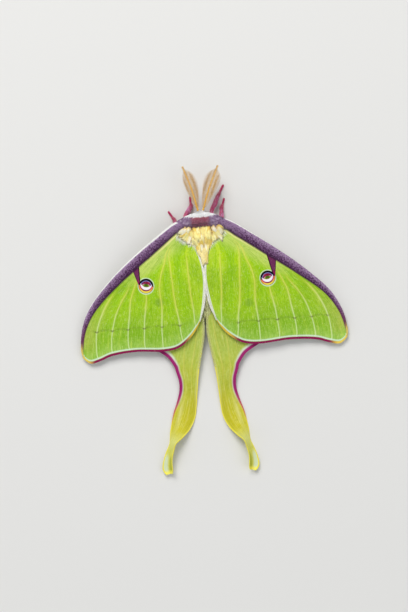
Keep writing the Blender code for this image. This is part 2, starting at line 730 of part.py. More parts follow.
def eye(side):
    return ball(f"eye_{SIDE_NAME[side]}", eye_centre(side), (EYE_RADIUS,) * 3, "eye_dark", 12, 8)


def frame_along(path):
    """Unit side and up directions at each point of a path, the up one as near vertical as can be."""
    forward = np.gradient(path, axis=0)
    forward /= np.linalg.norm(forward, axis=1, keepdims=True)
    sideways = np.cross(forward, (0, 0, 1.0))
    sideways /= np.linalg.norm(sideways, axis=1, keepdims=True)
    return sideways, np.cross(sideways, forward)


def tube(name, path, widths, heights, sides, slot):
    """A closed tube along a path, elliptical, with its own half width and half height at each point."""
    path = np.asarray(path, float)
    sideways, up = frame_along(path)
    turns = np.linspace(0, 2 * math.pi, sides, endpoint=False) + math.pi / sides
    loops = []
    for point, across, above, wide, high in zip(path, sideways, up, widths, heights):
        loops.append([point + across * wide * math.cos(t) + above * high * math.sin(t) for t in turns])
    return rings(name, loops, slot)


def palp(side):
    """One of the two short furry palps that hang in front of the face."""
    start = HEAD_CENTRE + Vector((side * PALP_START.x, PALP_START.y, PALP_START.z))
    path = [start + PALP_REACH * share for share in np.linspace(0, 1, 5)]
    sizes = [PALP_RADIUS * k for k in (0.9, 1.0, 0.95, 0.8, 0.66)]
    return tube(f"palp_{SIDE_NAME[side]}", path, sizes, sizes, 8, "body_white")


def collar_body(name, grow=0.0):
    """The collar's roll across the front of the thorax, from one forewing's root to the other's."""
    places = np.linspace(0, 1, 23)
    path = along(curve_through(COLLAR_PATH), places)
    middle = np.sin(math.pi * places) ** 0.7
    depth = COLLAR_HALF_DEPTH[0] + (COLLAR_HALF_DEPTH[1] - COLLAR_HALF_DEPTH[0]) * middle
    height = COLLAR_HALF_HEIGHT[0] + (COLLAR_HALF_HEIGHT[1] - COLLAR_HALF_HEIGHT[0]) * middle
    return tube(name, path, depth + grow, height + grow, 14, "collar_purple")


def collar():
    """The raised collar, hollowed below to lie a gap clear of the thorax."""
    roll = collar_body("collar")
    for side in (LEFT, RIGHT):
        facing = (side * COLLAR_END_FACING[0], COLLAR_END_FACING[1], 0)
        cut(roll, (side * COLLAR_END[0], COLLAR_END[1], 0), facing)
    subtract(roll, room_for_thorax())
    return roll


def antenna_line(side, count):
    """Points along an antenna's shaft, which arches from the head to its tip."""
    start = HEAD_CENTRE + Vector((side * ANTENNA_BASE_HALF, ANTENNA_BASE_FORWARD, ANTENNA_BASE_UP))
    end = Vector(ANTENNA_TIP[side])
    middle = (start + end) / 2 + Vector((-side * 0.35, 0, ANTENNA_ARCH))
    return along(curve_through([start, middle, end]), np.linspace(0, 1, count))


def branch(start, heading, up, length):
    """One flat tapered branch of an antenna, rooted inside the shaft and rising to its tip."""
    across = np.cross(up, heading)
    loops = []
    for share, wide, high in ((0.0, 1.0, 1.0), (0.6, 0.85, 0.95), (1.0, 0.45, 0.6)):
        middle = start + heading * length * share + up * BRANCH_RISE * length * share**2
        side_step = across * BRANCH_HALF_WIDTH * wide
        up_step = up * BRANCH_HALF_THICKNESS * high
        loops.append([middle - side_step, middle - up_step, middle + side_step, middle + up_step])
    return rings("branch", loops, "antenna_tan")


def antenna(side):
    """The feathered antenna: a tapering shaft with a row of branches on both sides."""
    count = 21
    path = antenna_line(side, count)
    places = np.linspace(0, 1, count)
    radius = ANTENNA_SHAFT_RADIUS * np.interp(places, [0, 0.06, 0.5, 1], [1.15, 1, 0.95, 0.7])
    shaft = tube(f"antenna_{SIDE_NAME[side]}", path, radius, radius, 6, "antenna_tan")
    line = (path, places)
    angle = math.radians(BRANCH_ANGLE)
    branches = []
    for place in np.linspace(0.08, 0.95, ANTENNA_BRANCHES):
        forward = along(line, min(1, place + 0.02)) - along(line, place - 0.02)
        forward /= np.linalg.norm(forward)
        outward_side = np.cross(forward, (0, 0, 1.0))
        outward_side /= np.linalg.norm(outward_side)
        up = np.cross(outward_side, forward)
        for hand in (LEFT, RIGHT):
            # A branch reaches the outline where it ends, a little ahead of its root.
            length = interpolate(ANTENNA_OUTLINE, min(1, place + 0.1)) / math.sin(angle)
            heading = forward * math.cos(angle) + outward_side * hand * math.sin(angle)
            if length > 2 * ANTENNA_SHAFT_RADIUS:
                branches.append(branch(along(line, place), heading, up, length))
    fuse(shaft, branches)
    return shaft


def leg(place, side):
    """One leg from its hip under the thorax to a foot that lies flat on the floor."""
    hip, knee, ankle, toe = (np.array(p) for p in LEGS[(place, side)])
    half_width, half_height, centre = section_at(THORAX_SECTIONS, hip[1])
    start = centre - half_height * math.sqrt(1 - (hip[0] / half_width) ** 2) + HIP_SUNK
    joints = [
        (*hip, start),
        (*(hip + 0.16 * (knee - hip)), start - HIP_SUNK - 0.5),
        (*(hip + 0.6 * (knee - hip) + (side * FEMUR_BOW, 0)), (start + 2 * KNEE_HEIGHT) / 3),
        (*knee, KNEE_HEIGHT),
        (*((knee + ankle) / 2), (KNEE_HEIGHT + ANKLE_HEIGHT) / 2 + 0.15),
        (*ankle, ANKLE_HEIGHT),
        (*(ankle + 0.35 * (toe - ankle)), TOE_RADIUS),
        (*toe, TOE_RADIUS - TOE_SUNK),
    ]
    radii = [HIP_RADIUS, 0.62, FEMUR_RADIUS, 0.44, TIBIA_RADIUS, 0.33, TARSUS_RADIUS, TOE_RADIUS]
    curve = curve_through([(*p, r) for p, r in zip(joints, radii)])
    stations = along(curve, np.linspace(0, 1, LEG_STATIONS))
    name = f"leg_{place}_{SIDE_NAME[side]}"
    obj = tube(name, stations[:, :3], stations[:, 3], stations[:, 3], 7, "leg_pink")
    for vertex in obj.data.vertices:
        vertex.co.z = max(vertex.co.z, 0)
    subtract(obj, room_for_thorax())
    return obj


def set_down(nodes):
    """Turns millimetres into metres and centres the bounding box over the origin."""
    corners = np.concatenate([[v.co[:] for v in obj.data.vertices] for obj in nodes])
    low, high = corners.min(0), corners.max(0)
    shift = Matrix.Translation((-(low[0] + high[0]) / 2, -(low[1] + high[1]) / 2, -low[2]))
    for obj in nodes:
        obj.data.transform(Matrix.Scale(MM, 4) @ shift)
        obj.data.set_sharp_from_angle(angle=math.radians(40))
        obj.data.update()


def build():
    clear_scene()
    nodes = [thorax(), abdomen(), head(), collar()]
    for side in (LEFT, RIGHT):
        nodes += [eye(side), palp(side), antenna(side)]
        nodes += [forewing(side), hindwing(side), tail(side)]
        nodes += [leg(place, side) for place in ("front", "mid", "hind")]
    set_down(nodes)


build()
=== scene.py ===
import math

import bmesh
import bpy
import numpy as np
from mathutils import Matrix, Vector


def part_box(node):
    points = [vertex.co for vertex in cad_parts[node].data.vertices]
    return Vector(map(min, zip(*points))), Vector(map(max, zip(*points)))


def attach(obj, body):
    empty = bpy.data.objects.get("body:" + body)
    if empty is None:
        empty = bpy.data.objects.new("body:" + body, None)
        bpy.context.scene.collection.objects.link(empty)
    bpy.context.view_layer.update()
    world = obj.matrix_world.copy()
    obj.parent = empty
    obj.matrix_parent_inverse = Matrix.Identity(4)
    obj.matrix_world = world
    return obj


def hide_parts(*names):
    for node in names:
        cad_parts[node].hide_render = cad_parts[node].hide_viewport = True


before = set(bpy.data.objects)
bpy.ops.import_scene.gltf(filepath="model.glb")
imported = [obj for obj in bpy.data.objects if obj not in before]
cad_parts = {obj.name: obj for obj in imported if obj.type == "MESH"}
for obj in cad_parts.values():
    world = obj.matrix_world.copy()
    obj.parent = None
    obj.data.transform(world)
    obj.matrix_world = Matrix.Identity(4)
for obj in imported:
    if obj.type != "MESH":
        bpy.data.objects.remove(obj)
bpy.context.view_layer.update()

# The room: a plain pale floor under soft studio light, and the camera straight above the moth.
# The moth is drawn in millimetres with its head towards +Y and its midline at x = 0, and the
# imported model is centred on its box, so the right eye, a ball, tells how far it was shifted.
MM = 0.001
RIGHT_EYE = np.array((2.35, 6.1, 4.4))
eye_low, eye_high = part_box("eye_right")
SHIFT = RIGHT_EYE - (np.array(eye_low) + np.array(eye_high)) / 2 / MM
VIEW_CENTRE = (-0.94, -21.7)
VIEW_HEIGHT = 189.7
VIEW_ROLL = math.radians(-4.7)
LENS, SENSOR = 100, 36
WING_LEVEL = 4.0
FLOOR_SIZE = 3.0
FLOOR_COLOUR = (0.80, 0.79, 0.77, 1.0)
FLOOR_ROUGHNESS = 0.9
DAYLIGHT = (1.0, 0.99, 0.97)
SKY_COLOUR = (0.9, 0.95, 1.0, 1.0)
SKY_STRENGTH = 0.35
# Each lamp: its name, place and size in metres, and power in watts.
LAMPS = [
    ("key_light", (-0.2, 0.75, 0.85), 0.6, 9.5),
    ("fill_light", (0.7, -0.35, 0.8), 0.9, 2.5),
    ("low_light", (-0.7, -0.5, 0.45), 0.7, 1.2),
]


def placed(points):
    """Points of the drawing, in millimetres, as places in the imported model's frame, in metres."""
    return (np.asarray(points, float) - SHIFT) * MM


bpy.ops.object.select_all(action="DESELECT")
bpy.ops.mesh.primitive_plane_add(size=FLOOR_SIZE, location=(0, 0, 0))
floor = bpy.context.object
floor.name = "floor"
card = bpy.data.materials.new("floor_card")
card.use_nodes = True
card.node_tree.nodes["Principled BSDF"].inputs["Base Color"].default_value = FLOOR_COLOUR
card.node_tree.nodes["Principled BSDF"].inputs["Roughness"].default_value = FLOOR_ROUGHNESS
floor.data.materials.append(card)

camera_height = VIEW_HEIGHT * LENS / SENSOR + WING_LEVEL
bpy.ops.object.camera_add(location=placed((*VIEW_CENTRE, camera_height)), rotation=(0, 0, VIEW_ROLL))
camera = bpy.context.object
camera.data.lens = LENS
camera.data.sensor_fit = "VERTICAL"
camera.data.sensor_height = SENSOR
camera.data.clip_start = 0.01
bpy.context.scene.camera = camera

for name, place, size, power in LAMPS:
    bpy.ops.object.light_add(type="AREA", location=place)
    lamp = bpy.context.object
    lamp.name = name
    lamp.data.size = size
    lamp.data.energy = power
    lamp.data.color = DAYLIGHT
    lamp.rotation_euler = (-Vector(place)).to_track_quat("-Z", "Y").to_euler()

sky = bpy.data.worlds.new("studio")
sky.use_nodes = True
sky.node_tree.nodes["Background"].inputs["Color"].default_value = SKY_COLOUR
sky.node_tree.nodes["Background"].inputs["Strength"].default_value = SKY_STRENGTH
bpy.context.scene.world = sky
bpy.context.scene.view_settings.view_transform = "Standard"

# The forewings: a thin scaled membrane on stiff tube veins, with the leading edge a thick furry roll
# that bears most of the load. They hinge on the thorax and lie over the hindwings like a low tent.
# The markings are in the scales themselves: the purple costa, its stalk and eyespot, and the margins.
RIGHT, LEFT = 1, -1
SIDE_NAME = {RIGHT: "right", LEFT: "left"}
MEMBRANE, VEIN_SWELL, ROLL_THICKNESS = 0.2, 0.2, 1.25
VEIN_HALF_WIDTH = 0.17
PLEAT_DEPTH = 0.22
HALF_SPAN = 41.7
SPAN = {RIGHT: 1.036, LEFT: 0.962}
COSTA_BOW = {RIGHT: -0.5, LEFT: 0.6}
ROOF_LOW, ROOF_SLOPE = 1.4, 0.62
ROOF_RIDGE = [(6.0, 8.1), (-5.0, 8.1), (-13.0, 7.6), (-22.0, 5.6), (-34.0, 3.7), (-42.0, 3.2)]
FOREWING_COSTA = [
    (5.8, 5.25), (9.3, 3.8), (14.3, 0.4), (22.1, -5.3), (29.7, -11.6), (36.8, -18.9),
    (40.4, -25.6), (41.6, -31.8), (41.2, -35.1),
]
FOREWING_OUTER = [
    (41.2, -35.1), (38.9, -36.75), (35.6, -36.1), (31.5, -34.8), (24.0, -34.2), (15.5, -34.75),
    (10.3, -34.1), (6.4, -31.6), (4.0, -28.9), (2.5, -26.3),
]
FOREWING_INNER = [
    (1.9, -3.6), (1.45, -5.2), (1.0, -7.2), (0.5, -9.6), (0.25, -14.0), (0.8, -19.8), (2.5, -26.3),
]
FOREWING_ROOT = [(4.3, 1.0), (4.1, -0.4), (3.6, -1.8), (2.9, -2.8)]
COSTAL_BAND = {
    RIGHT: [(0, 2.6), (0.12, 3.2), (0.3, 3.3), (0.42, 3.0), (0.54, 2.6), (0.66, 1.95), (0.8, 1.3),
            (0.9, 0.85), (1, 0.45)],
    LEFT: [(0, 2.7), (0.1, 3.2), (0.28, 3.5), (0.42, 3.25), (0.52, 2.9), (0.68, 2.2), (0.82, 1.3),
           (0.9, 0.9), (1, 0.45)],
}
ROLL_SHARES = (0, 0.03, 0.08, 0.15, 0.24, 0.34, 0.45, 0.56, 0.67, 0.78, 0.87, 0.94, 0.985)
ROLL_SWELL = [(0, 1.15), (0.15, 1.0), (0.6, 0.85), (0.85, 0.5), (0.95, 0.28), (1, 0.2)]
ROLL_LIFT = 0.22
# Each vein: where it first shows along the wing, and its place across the wing (0 at the costal
# band, 1 at the inner margin) at places along it (0 at the root, 1 at the outer margin).
FOREWING_VEINS = [
    (0.55, [(0, 0.04), (0.15, 0.022), (0.25, 0.02), (0.55, 0.025), (0.75, 0.075), (0.9, 0.112), (1, 0.128)]),
    (0.47, [(0, 0.08), (0.15, 0.042), (0.25, 0.042), (0.42, 0.06), (0.55, 0.133), (0.79, 0.218), (1, 0.245)]),
    (0.42, [(0, 0.13), (0.15, 0.064), (0.22, 0.068), (0.4, 0.105), (0.57, 0.22), (0.76, 0.33), (1, 0.376)]),
    (0.5, [(0, 0.18), (0.15, 0.088), (0.22, 0.11), (0.42, 0.18), (0.58, 0.375), (0.8, 0.465), (1, 0.495)]),
    (0.12, [(0, 0.27), (0.05, 0.2), (0.1, 0.155), (0.15, 0.13), (0.2, 0.175), (0.25, 0.25), (0.3, 0.308),
            (0.4, 0.382), (0.5, 0.455), (0.6, 0.53), (0.7, 0.575), (0.85, 0.61), (1, 0.63)]),
    (0.13, [(0, 0.4), (0.05, 0.27), (0.1, 0.205), (0.15, 0.182), (0.2, 0.245), (0.25, 0.345), (0.3, 0.43),
            (0.4, 0.54), (0.5, 0.608), (0.6, 0.665), (0.75, 0.73), (0.9, 0.768), (1, 0.79)]),
    (0.12, [(0, 0.56), (0.1, 0.6), (0.2, 0.675), (0.3, 0.728), (0.5, 0.8), (0.7, 0.862), (0.9, 0.908),
            (1, 0.93)]),
]
FOREWING_ROWS = 150
COLUMN_SPACING = 0.42
# Columns of points close beside a vein, and the most that they may take of a narrow field.
BESIDE_VEIN = (0.1, 0.22)
BESIDE_SHARE = 0.32
EDGE_SAMPLES = 401
# How far out the stretch to each side's own span starts, and where it is full.
SPAN_STARTS, SPAN_FULL = 4, 12
# The distance from a vein given to points of the roll, which has none.
FAR = 9
EYESPOT_TILT = math.radians(12)
LINE_BELOW_SPOT = 12.65
EYESPOT_PLACE = {RIGHT: (19.4, -14.65), LEFT: (18.3, -14.1)}
# The stalk above each eyespot: how far out its middle lies and its half width, each with its slope.
STALK = {RIGHT: (2.12, -0.055, 0.27, 0.175), LEFT: (1.9, 0.155, 0.27, 0.155)}
# Where the eyespot of the hindwing below shows faintly through the membrane.
GHOST_PLACE = {RIGHT: (13.0, -21.8), LEFT: (14.6, -19.5)}
WHITE_RIM = {
    RIGHT: [(0, 0.45), (0.12, 0.3), (0.3, 0.1), (0.45, 0.0), (1, 0.0)],
    LEFT: [(0, 0.75), (0.15, 0.6), (0.3, 0.45), (0.5, 0.36), (0.7, 0.28), (0.78, 0.0), (1, 0.0)],
}


def curve_through(points, samples=600):
    """A smooth curve through points: many places on it, and the share of its length at each."""
    points = np.array(points, float)
    ends = np.vstack([2 * points[0] - points[1], points, 2 * points[-1] - points[-2]])
    dense = []
    spans = len(points) - 1
    for i in range(spans):
        before, start, end, after = ends[i : i + 4]
        for t in np.linspace(0, 1, max(2, samples // spans), endpoint=i == spans - 1):
            straight = 2 * start + (end - before) * t
            bend = (2 * before - 5 * start + 4 * end - after) * t**2
            dense.append(0.5 * (straight + bend + (3 * start - before - 3 * end + after) * t**3))
    dense = np.array(dense)
    steps = np.linalg.norm(np.diff(dense[:, :3], axis=0), axis=1)
    lengths = np.concatenate([[0], np.cumsum(steps)])
    return dense, lengths / lengths[-1]


def along(curve, share):
    """The point at a share, or at each of several shares, of a curve's length."""
    dense, shares = curve
    return np.stack([np.interp(share, shares, dense[:, k]) for k in range(dense.shape[1])], -1)


def reading(table, value):
    """Linear reading of a table of (place, value) pairs, in either order of place."""
    places, values = zip(*sorted(table))
    return np.interp(value, places, values)


def smooth_reading(table, value):
    """Reading of a table of (place, value) pairs along a smooth curve through them."""
    dense, _ = curve_through(table)
    return np.interp(value, dense[:, 0], dense[:, 1])


def eased(value, start, end):
    """0 before start, 1 after end, and a smooth step between."""
    share = np.clip((value - start) / (end - start), 0, 1)
    return share * share * (3 - 2 * share)


dense_ridge, _ = curve_through(ROOF_RIDGE)
RIDGE_LINE = (-dense_ridge[:, 0], dense_ridge[:, 1])


def roof(x, y):
    """Height of the middle of the forewings over a place on the floor: a low, cambered tent."""
    reach = np.abs(x) / HALF_SPAN
    fall = 1 - ROOF_SLOPE * reach - (1 - ROOF_SLOPE) * reach**2
    return ROOF_LOW + (np.interp(-y, *RIDGE_LINE) - ROOF_LOW) * fall


def patch(sides, u, v):
    """Points of the patch between four curves: root to margin along u, front to back along v."""
    front, back, root, outer = sides
    u, v = np.broadcast_arrays(u, v)
    a, b = u[..., None], v[..., None]
    ruled = (1 - b) * along(front, u) + b * along(back, u) + (1 - a) * along(root, v) + a * along(outer, v)
    corners = (1 - a) * ((1 - b) * along(root, 0.0) + b * along(root, 1.0))
    corners += a * ((1 - b) * along(outer, 0.0) + b * along(outer, 1.0))
    return ruled - corners


def membrane(sides, veins, u, marks=()):
    """Columns of plan points across a wing, close beside each vein and even between veins.

    Returns the points, and for each the distance from the nearest vein, that vein's share of its
    full strength there, how deep between two veins the point lies, and its place counted in veins.
    """
    none = np.zeros(len(u))
    lines = [(none, None), (none + 1, None)]
    lines += [(smooth_reading(table, u), start) for start, table in veins]
    lines += [(none + v, None) for v in marks]
    lines.sort(key=lambda line: line[0][-1])
    columns, away, strength, hollow, count_of_veins = [], [], [], [], []
    for number, ((v, start), (next_v, next_start)) in enumerate(zip(lines, lines[1:])):
        apart = np.linalg.norm(patch(sides, u, next_v) - patch(sides, u, v), axis=1)
        count = max(2, math.ceil(apart.max() / COLUMN_SPACING))
        shares = list(np.linspace(0, 1, count, endpoint=False))
        places = [none + s for s in shares]
        beside = [
            np.minimum(distance / apart, (k + 1) * BESIDE_SHARE / count)
            for k, distance in enumerate(BESIDE_VEIN)
        ]
        places += beside + [1 - place for place in beside]
        places.sort(key=lambda place: place.mean())
        for place in places:
            columns.append(v + (next_v - v) * place)
            fade = [none if s is None else eased(u, s - 0.02, s + 0.1) for s in (start, next_start)]
            near_first = place < 0.5
            away.append(np.where(near_first, place, 1 - place) * apart)
            strength.append(np.where(near_first, fade[0], fade[1]))
            hollow.append(np.sin(math.pi * place) ** 2 * np.clip(apart / 3, 0, 1))
            count_of_veins.append(number + place)
    last_column = ((columns, 1), (away, 0), (strength, 0), (hollow, 0), (count_of_veins, len(lines) - 1))
    for column, last in last_column:
        column.append(none + last)
    facts = (np.stack(values, 1) for values in (away, strength, hollow, count_of_veins))
    return patch(sides, u[:, None], np.stack(columns, 1)), *facts


def travelled(points, axis):
    """Distance along each line of a grid of points from its start, and each line's whole length."""
    steps = np.linalg.norm(np.diff(points, axis=axis), axis=-1)
    zero = np.zeros_like(np.take(steps, [0], axis=axis))
    run = np.concatenate([zero, np.cumsum(steps, axis=axis)], axis=axis)
    return run, np.take(run, [-1], axis=axis)


def points_of(piece, layer="co"):
    """The places of a piece's points, or their normals, as rows of three numbers."""
    numbers = np.zeros(len(piece.data.vertices) * 3)
    piece.data.vertices.foreach_get(layer, numbers)
    return numbers.reshape(-1, 3)


def move_points(piece, points):
    """Moves a piece's points to new places, in metres."""
    piece.data.vertices.foreach_set("co", points.astype(np.float32).ravel())


def give_values(piece, facts):
    """Keeps named values of each point on a piece, single or in threes, for its material to read."""
    for fact, values in facts.items():
        values = np.asarray(values, np.float32).reshape(len(piece.data.vertices), -1)
        kind, field = ("FLOAT_VECTOR", "vector") if values.shape[1] == 3 else ("FLOAT", "value")
        piece.data.attributes.new(fact, kind, "POINT").data.foreach_set(field, values.ravel())


def dress(piece, material, slot, *nodes):
    """Gives a piece its finish and its body, and hides the solids that it takes the place of. The slot is not
    used.
    """
    piece.data.materials.append(material)
    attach(piece, "root")
    if nodes:
        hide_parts(*nodes)


def grid(name, points, facts):
    """A flat grid whose points are moved into place, with named values that the materials read."""
    rows, columns, _ = points.shape
    bpy.ops.object.select_all(action="DESELECT")
    bpy.ops.mesh.primitive_grid_add(x_subdivisions=columns - 1, y_subdivisions=rows - 1, size=1)
    obj = bpy.context.object
    obj.name = name
    obj.data.name = name
    move_points(obj, placed(points.reshape(-1, 3)))
    give_values(obj, facts)
    return obj


def two_faced(grids):
    """Joins grids that share an edge into one sheet, as thick as each point's own thickness says."""
    bpy.ops.object.select_all(action="DESELECT")
    for part in grids:
        part.select_set(True)
    obj = grids[0]
    bpy.context.view_layer.objects.active = obj
    if len(grids) > 1:
        bpy.ops.object.join()
    bpy.ops.object.mode_set(mode="EDIT")
    bpy.ops.mesh.select_all(action="SELECT")
    bpy.ops.mesh.remove_doubles(threshold=0.00001)
    bpy.ops.mesh.normals_make_consistent(inside=False)
    bpy.ops.object.mode_set(mode="OBJECT")
    thickness = np.zeros(len(obj.data.vertices), np.float32)
    obj.data.attributes["thickness"].data.foreach_get("value", thickness)
    thickest = float(thickness.max())
    group = obj.vertex_groups.new(name="thick")
    for k, share in enumerate(thickness / thickest):
        group.add([k], float(share), "REPLACE")
    solidify = obj.modifiers.new("two_faces", "SOLIDIFY")
    solidify.thickness = thickest * MM
    solidify.offset = 0
    solidify.vertex_group = group.name
    bpy.ops.object.modifier_apply(modifier=solidify.name)
    obj.vertex_groups.clear()
    bpy.ops.object.shade_smooth_by_angle(angle=math.radians(50))
    return obj


def forewing(side):
    """The forewing of one side as a sheet with its rolled costa, and what its material reads."""
    rows = np.linspace(0, 1, FOREWING_ROWS + 1)
    shares = np.linspace(0, 1, EDGE_SAMPLES)
    edge = along(curve_through(FOREWING_COSTA), shares)
    heading = np.gradient(edge, axis=0)
    heading /= np.linalg.norm(heading, axis=1, keepdims=True)
    inward = np.stack([heading[:, 1], -heading[:, 0]], 1)
    band = reading(COSTAL_BAND[side], shares)[:, None]
    front = (edge + inward * band, shares)
    root = curve_through([front[0][0], *FOREWING_ROOT, FOREWING_INNER[0]])
    tip = np.array(front[0][-1])
    margin, _ = curve_through(FOREWING_OUTER)
    margin = margin[int(np.argmin(np.linalg.norm(margin - tip, axis=1))) + 1 :]
    outer = curve_through(np.vstack([tip, margin[:: len(margin) // 60], margin[-1]]), samples=900)
    sides = (front, curve_through(FOREWING_INNER), root, outer)
    plan, away, strength, hollow, fan = membrane(sides, FOREWING_VEINS, rows)
    roll = np.stack([along((edge + inward * band * share, shares), rows) for share in ROLL_SHARES], 1)
    flat = np.zeros(roll.shape[:2])
    plan = np.concatenate([roll, plan], 1)
    away, strength, hollow, fan = (
        np.concatenate([flat + on_roll, values], 1)
        for on_roll, values in ((FAR, away), (0, strength), (0, hollow), (0, fan))
    )
    across, _ = travelled(plan[:, len(ROLL_SHARES) :], 1)
    width = reading(COSTAL_BAND[side], rows)[:, None]
    share = np.concatenate([flat + ROLL_SHARES, 1 + across], 1)
    from_band = np.concatenate([-(1 - flat - ROLL_SHARES) * width, across], 1)
    run, whole = travelled(plan, 1)
    to_inner = whole - run
    run, whole = travelled(plan, 0)
    to_outer = whole - run
    # The bow moves the leading edge and fades out towards the inner margin.
    fade = np.linspace(1, 0, plan.shape[1]) ** 2
    bow = COSTA_BOW[side] * np.sin(math.pi * rows)[:, None] * fade
    plan = plan - bow[..., None] * along((inward, shares), rows)[:, None, :]
    x = plan[..., 0] * np.interp(plan[..., 0], [SPAN_STARTS, SPAN_FULL], [1, SPAN[side]])
    y = plan[..., 1]
    rise = np.clip(share / 0.5, 0, 1)
    profile = np.sqrt(1 - (1 - rise) ** 2) * (1 - 0.62 * eased(share, 0.5, 1.0)) * (share <= 1)
    swell = reading(ROLL_SWELL, rows)[:, None] * profile
    ridge = np.exp(-((away / VEIN_HALF_WIDTH) ** 2)) * strength
    sag = PLEAT_DEPTH * hollow * eased(rows, 0.02, 0.25)[:, None]
    z = roof(x, y) + ROLL_LIFT * swell - sag
    thickness = np.maximum(MEMBRANE, ROLL_THICKNESS * swell) + VEIN_SWELL * ridge
    thickness *= 0.45 + 0.55 * np.clip(np.minimum(to_inner, to_outer) / 0.5, 0, 1)
    spot_x, spot_y = EYESPOT_PLACE[side]
    ghost_x, ghost_y = GHOST_PLACE[side]
    white = reading(WHITE_RIM[side], rows)[:, None] + 0 * share
    middle, middle_slope, half, half_slope = STALK[side]
    up = y - spot_y
    off_stalk = x - spot_x - middle - middle_slope * up
    level = np.broadcast_to(rows[:, None], share.shape)
    facts = {
        "margins": np.stack([from_band, to_inner, to_outer], -1),
        "course": np.stack([level, share, away], -1),
        "spot": np.stack([x - spot_x, y - spot_y, strength], -1),
        "ghost": np.stack([x - ghost_x, y - ghost_y, white], -1),
        "stalk": np.stack([off_stalk, half + half_slope * up, 0 * up], -1),
        "fan": np.stack([fan, hollow, 0 * up], -1),
        "thickness": thickness,
    }
    return two_faced([grid(f"forewing_scales_{SIDE_NAME[side]}", np.stack([side * x, y, z], -1), facts)])


MIX_SHARE, MIX_BELOW, MIX_ABOVE, MIX_RESULT = 0, 6, 7, 2


def paint(red, green, blue):
    """A colour given in display values from 0 to 255, as the linear one that shaders take."""
    steps = [c / 255 for c in (red, green, blue)]
    return (*[c / 12.92 if c <= 0.04045 else ((c + 0.055) / 1.055) ** 2.4 for c in steps], 1.0)


class Nodes:
    """A node tree being put together: short ways to add a node and give it its values."""

    def __init__(self, tree):
        self.tree = tree

    def set(self, socket, value):
        """Gives a socket another node's output, or a plain value."""
        if isinstance(value, bpy.types.NodeSocket):
            self.tree.links.new(value, socket)
        else:
            socket.default_value = value

    def node(self, kind, output=0, settings=(), **values):
        """Adds a node of a kind, with its settings and input values, and returns one output."""
        node = self.tree.nodes.new("ShaderNode" + kind)
        for key, value in dict(settings).items():
            setattr(node, key, value)
        for key, value in values.items():
            self.set(node.inputs[key.replace("_", " ")], value)
        return node.outputs[output]

    def maths(self, operation, *values):
        """One sum on numbers or on other nodes' outputs."""
        node = self.tree.nodes.new("ShaderNodeMath")
        node.operation = operation
        for socket, value in zip(node.inputs, values):
            self.set(socket, value)
        return node.outputs[0]

    def both(self, *shares):
        """The product of shares: what lies in all of them."""
        product = shares[0]
        for share in shares[1:]:
            product = self.maths("MULTIPLY", product, share)
        return product

    def step(self, value, start, end):
        """0 where the value is at start and 1 where it is at end, in either order, eased."""
        low, high, first, last = (start, end, 0.0, 1.0) if start < end else (end, start, 1.0, 0.0)
        return self.node("MapRange", 0, {"interpolation_type": "SMOOTHSTEP"}, Value=value,
                         From_Min=low, From_Max=high, To_Min=first, To_Max=last)

    def near(self, value, middle, half_width, soft):
        """1 where a value is within half a width of a middle one, with soft sides."""
        off = self.maths("ABSOLUTE", self.maths("SUBTRACT", value, middle))
        return self.step(off, half_width + soft, half_width - soft)

    def disc(self, x, y, centre, radius, soft):
        """1 inside a disc of a marking, measured in millimetres, and 0 outside."""
        dx = self.maths("SUBTRACT", x, centre[0])
        dy = self.maths("SUBTRACT", y, centre[1])
        squares = self.maths("ADD", self.both(dx, dx), self.both(dy, dy))
        return self.step(self.maths("SQRT", squares), radius + soft, radius - soft)

    def over(self, below, above, share):
        """One colour laid over another by a share. Plain colours are in display values."""
        node = self.tree.nodes.new("ShaderNodeMix")
        node.data_type = "RGBA"
        for number, value in ((MIX_SHARE, share), (MIX_BELOW, below), (MIX_ABOVE, above)):
            self.set(node.inputs[number], paint(*value) if isinstance(value, tuple) else value)
        return node.outputs[MIX_RESULT]

    def layers(self, colour, *coats):
        """Colours laid over a first one in turn, each by its share."""
        for above, share in coats:
            colour = self.over(colour, above, share)
        return colour

    def split(self, vector):
        """The three numbers of a vector."""
        node = self.tree.nodes.new("ShaderNodeSeparateXYZ")
        self.set(node.inputs[0], vector)
        return node.outputs[:]

    def parts(self, name):
        """The three numbers of one of the piece's own values."""
        return self.split(self.node("Attribute", 1, {"attribute_name": name}))

    def mottle(self, scale, detail=3.0, at=None):
        """Noise from 0 to 1 over the piece, by its spots per metre."""
        where = at or self.node("TexCoord", 3)
        return self.node("TexNoise", 0, Vector=where, Scale=scale, Detail=detail, Roughness=0.6)

    def times(self, colour, share):
        """A colour darkened to a share of itself."""
        return self.node("VectorMath", 0, {"operation": "SCALE"}, Vector=colour, Scale=share)

    def drawn(self, place):
        """A place on a piece, in metres, as the drawing's own millimetres: x, y and z."""
        node = self.tree.nodes.new("ShaderNodeVectorMath")
        node.operation = "MULTIPLY_ADD"
        for socket, value in zip(node.inputs, (place, (1 / MM,) * 3, tuple(SHIFT))):
            self.set(socket, value)
        return self.split(node.outputs[0])

    def grouped(self, group, **values):
        """A group of nodes put in with its own values: all that it gives."""
        node = self.tree.nodes.new("ShaderNodeGroup")
        node.node_tree = group
        for key, value in values.items():
            self.set(node.inputs[key.replace("_", " ")], value)
        return node.outputs[:]


class Finish(Nodes):
    """A material being put together, round its one surface shader."""

    def __init__(self, name, roughness):
        self.material = bpy.data.materials.new(name)
        self.material.use_nodes = True
        super().__init__(self.material.node_tree)
        self.shader = self.tree.nodes["Principled BSDF"]
        self.set(self.shader.inputs["Roughness"], roughness)

    def surface(self, colour, **values):
        """Gives the surface its colour, and plain values to its other inputs."""
        self.set(self.shader.inputs["Base Color"], colour)
        for key, value in values.items():
            self.shader.inputs[key.replace("_", " ")].default_value = value

    def bump(self, height, distance):
        """Raises the surface by a height, with its depth in metres."""
        self.set(self.shader.inputs["Normal"], self.node("Bump", 0, Height=height, Distance=distance))


